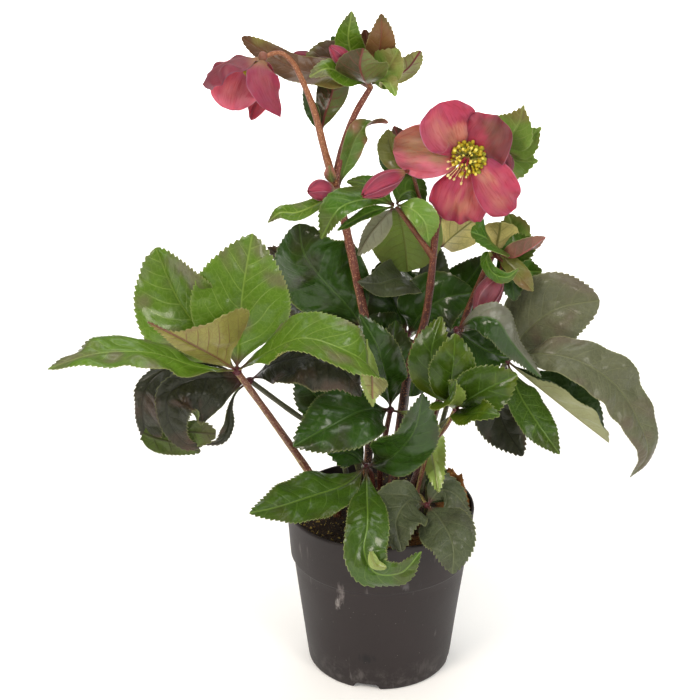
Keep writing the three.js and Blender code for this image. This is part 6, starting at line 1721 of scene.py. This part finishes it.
def peatPattern():
    # crumbs strewn over the top of the peat
    strewn = Pattern("peat_crumbs", Density="Float", Size="Float", Seed="Int", Finish="Material")
    base = Wire(strewn, strewn.start.outputs[0])
    up = strewn.parts(strewn.node("GeometryNodeInputNormal"))[2] > 0.15
    points = strewn.node("GeometryNodeDistributePointsOnFaces", None, {
        "Mesh": base, "Selection": up, "Density": strewn.entry("Density"), "Seed": strewn.entry("Seed")},
        "Points")
    crumb = strewn.node("GeometryNodeMeshIcoSphere", None,
                        {"Radius": strewn.entry("Size"), "Subdivisions": 1}, "Mesh")

    def draw(kind, low, high, step):
        tail = {"FLOAT": "_001", "FLOAT_VECTOR": ""}[kind]
        return strewn.node("FunctionNodeRandomValue", {"data_type": kind}, {
            "Min" + tail: low, "Max" + tail: high, "Seed": strewn.entry("Seed") + step}, "Value" + tail)

    size = draw("FLOAT", 0.1, 1.0, 3)
    shape = strewn.scaled(draw("FLOAT_VECTOR", (0.45, 0.4, 0.3), (1.5, 1.1, 0.9), 1),
                          0.35 + size * size * size)
    laid = strewn.node("GeometryNodeInstanceOnPoints", None, {
        "Points": points, "Instance": crumb, "Scale": shape,
        "Rotation": draw("FLOAT_VECTOR", (0, 0, 0), (6.28, 6.28, 6.28), 2)})
    marked = strewn.node("GeometryNodeStoreNamedAttribute", {"data_type": "FLOAT", "domain": "INSTANCE"},
                         {"Geometry": laid, "Name": "grain", "Value": draw("FLOAT", 0.0, 1.0, 4)})
    joined = strewn.node("GeometryNodeJoinGeometry")
    for part in (base, marked):
        strewn.tree.links.new(part.socket, joined.socket.node.inputs[0])
    strewn.finish(joined)
    return strewn


def peatSurface(edge, turn):
    # the top of the peat, ring by ring from its middle
    top = peatTop
    radii = edge * np.linspace(0.02, 1, peatBuild["rings"]) ** 0.8
    surface = np.stack([radii[:, None] * np.cos(turn), radii[:, None] * np.sin(turn),
                        np.zeros((len(radii), len(turn)))], -1)
    height = soilLevel["top"] + top["lumps"][0] * ripple(surface, 26, 8)
    height = height + top["lumps"][1] * ripple(surface, 8, 9)
    away = ((surface[..., :2] - top["heapPlace"]) ** 2).sum(-1)
    heap = top["heapHeight"] * np.exp(-(away / top["heapSize"] ** 2))
    share = radii / edge
    bank = (np.exp(-((turn - top["bankTurn"]) / top["bankSpread"]) ** 2)
            * smoothStep(share, top["bankFrom"], top["bankTo"])[:, None])
    sunk = smoothStep(share, top["bankTo"], 1)[:, None]
    bank = top["bankHeight"] * bank * (1 + 0.2 * ripple(surface, 6, 10)) * (1 - 0.4 * sunk)
    surface[..., 2] = height + heap + bank - top["sunkBy"] * sunk
    return surface


def peatPlug():
    # the plug's points and faces, with two points more for the middle of its top and of its foot
    body = potBuild["collar"] - potBuild["collarStep"]
    gap = peatBuild["rimGap"]
    wall = potBuild["wall"]
    grown = (soilLevel["top"] - potShoulder) / potBuild["collarHeight"]
    edge = blend(potBuild["collar"], potBuild["rim"], grown) - wall - gap
    low = potBuild["footHeight"] + potBuild["floor"] + 0.4
    turn = np.arange(peatBuild["turns"]) * 2 * math.pi / peatBuild["turns"]
    surface = peatSurface(edge, turn)
    below = [(edge, soilLevel["top"] - 4), (body - wall - gap, potShoulder - 2),
             (potBuild["base"] - wall - gap, low), (1.0, low)]
    walls = [np.stack([r * np.cos(turn), r * np.sin(turn), z + 0 * turn], -1) for r, z in below]
    rings = np.concatenate([surface, walls])
    middles = [[0, 0, surface[0, :, 2].mean()], [0, 0, low]]
    return np.vstack([rings.reshape(-1, 3), middles]), cappedRings(*rings.shape[:2]), edge


def makePeat(finish):
    points, (quads, caps), edge = peatPlug()
    mesh = makeMesh("peat_base", points, quads.tolist() + caps.tolist(), finish)
    setAttribute(mesh, "grain", np.full(len(points), 0.15), "FLOAT")
    area = math.pi * (edge * millimetre) ** 2
    grown = peatPattern().grow(addObject("peat_base", mesh), Density=peatBuild["crumbs"] / area,
                               Size=peatBuild["crumbSize"] * millimetre, Seed=peatBuild["seed"],
                               Finish=finish.material)
    grown.name = "peat"
    keepPiece("peat", grown, "soil")


def peatFinish(name):
    # dark moist peat; each crumb has its own shade, a few are pale grit
    peat = Finish(name, specularIORLevel=0.25)
    place = peat.places()
    grain = peat.attribute("grain", "Fac")
    fine = peat.noise(place, 1.3, 4, 0.7)
    patch = peat.noise(place, 0.16, 3, 0.6)
    shade = peat.ramp(grain * 0.8 + fine * 0.25, peatStops)
    x, y, z = peat.parts(place)
    high = peat.rise(z + 0.1 * (x - y), peatLook["rustFrom"], peatLook["rustTo"])
    shade = peat.mix(high * peatLook["rustShare"], shade, linearColour(peatLook["rust"]))
    peat.set(baseColor=peat.bright(shade, 0.7 + 0.7 * patch),
             roughness=peatLook["roughness"] + 0.2 * fine)
    peat.relief(fine, peatLook["relief"], 0.8)
    return peat


makePeat(peatFinish("soil"))
print("peat made")


def makeFloor():
    half = floorLook["size"] / 2 / millimetre
    floor = Finish("studio_floor", specularIORLevel=0.2, emissionStrength=floorLook["glow"],
                   emissionColor=linearColour("ffffff"))
    soft = floor.noise(floor.places(), 0.004, 2)
    floor.set(baseColor=floor.bright(linearColour(floorLook["colour"]), 0.99 + 0.02 * soft),
              roughness=floorLook["roughness"])
    low = -floorLook["drop"]
    corners = [(-half, -half, low), (half, -half, low), (half, half, low), (-half, half, low)]
    addObject("floor", makeMesh("floor", corners, [(0, 1, 2, 3)], floor))


makeFloor()
setStage()
bpy.context.view_layer.update()


print("stage set")
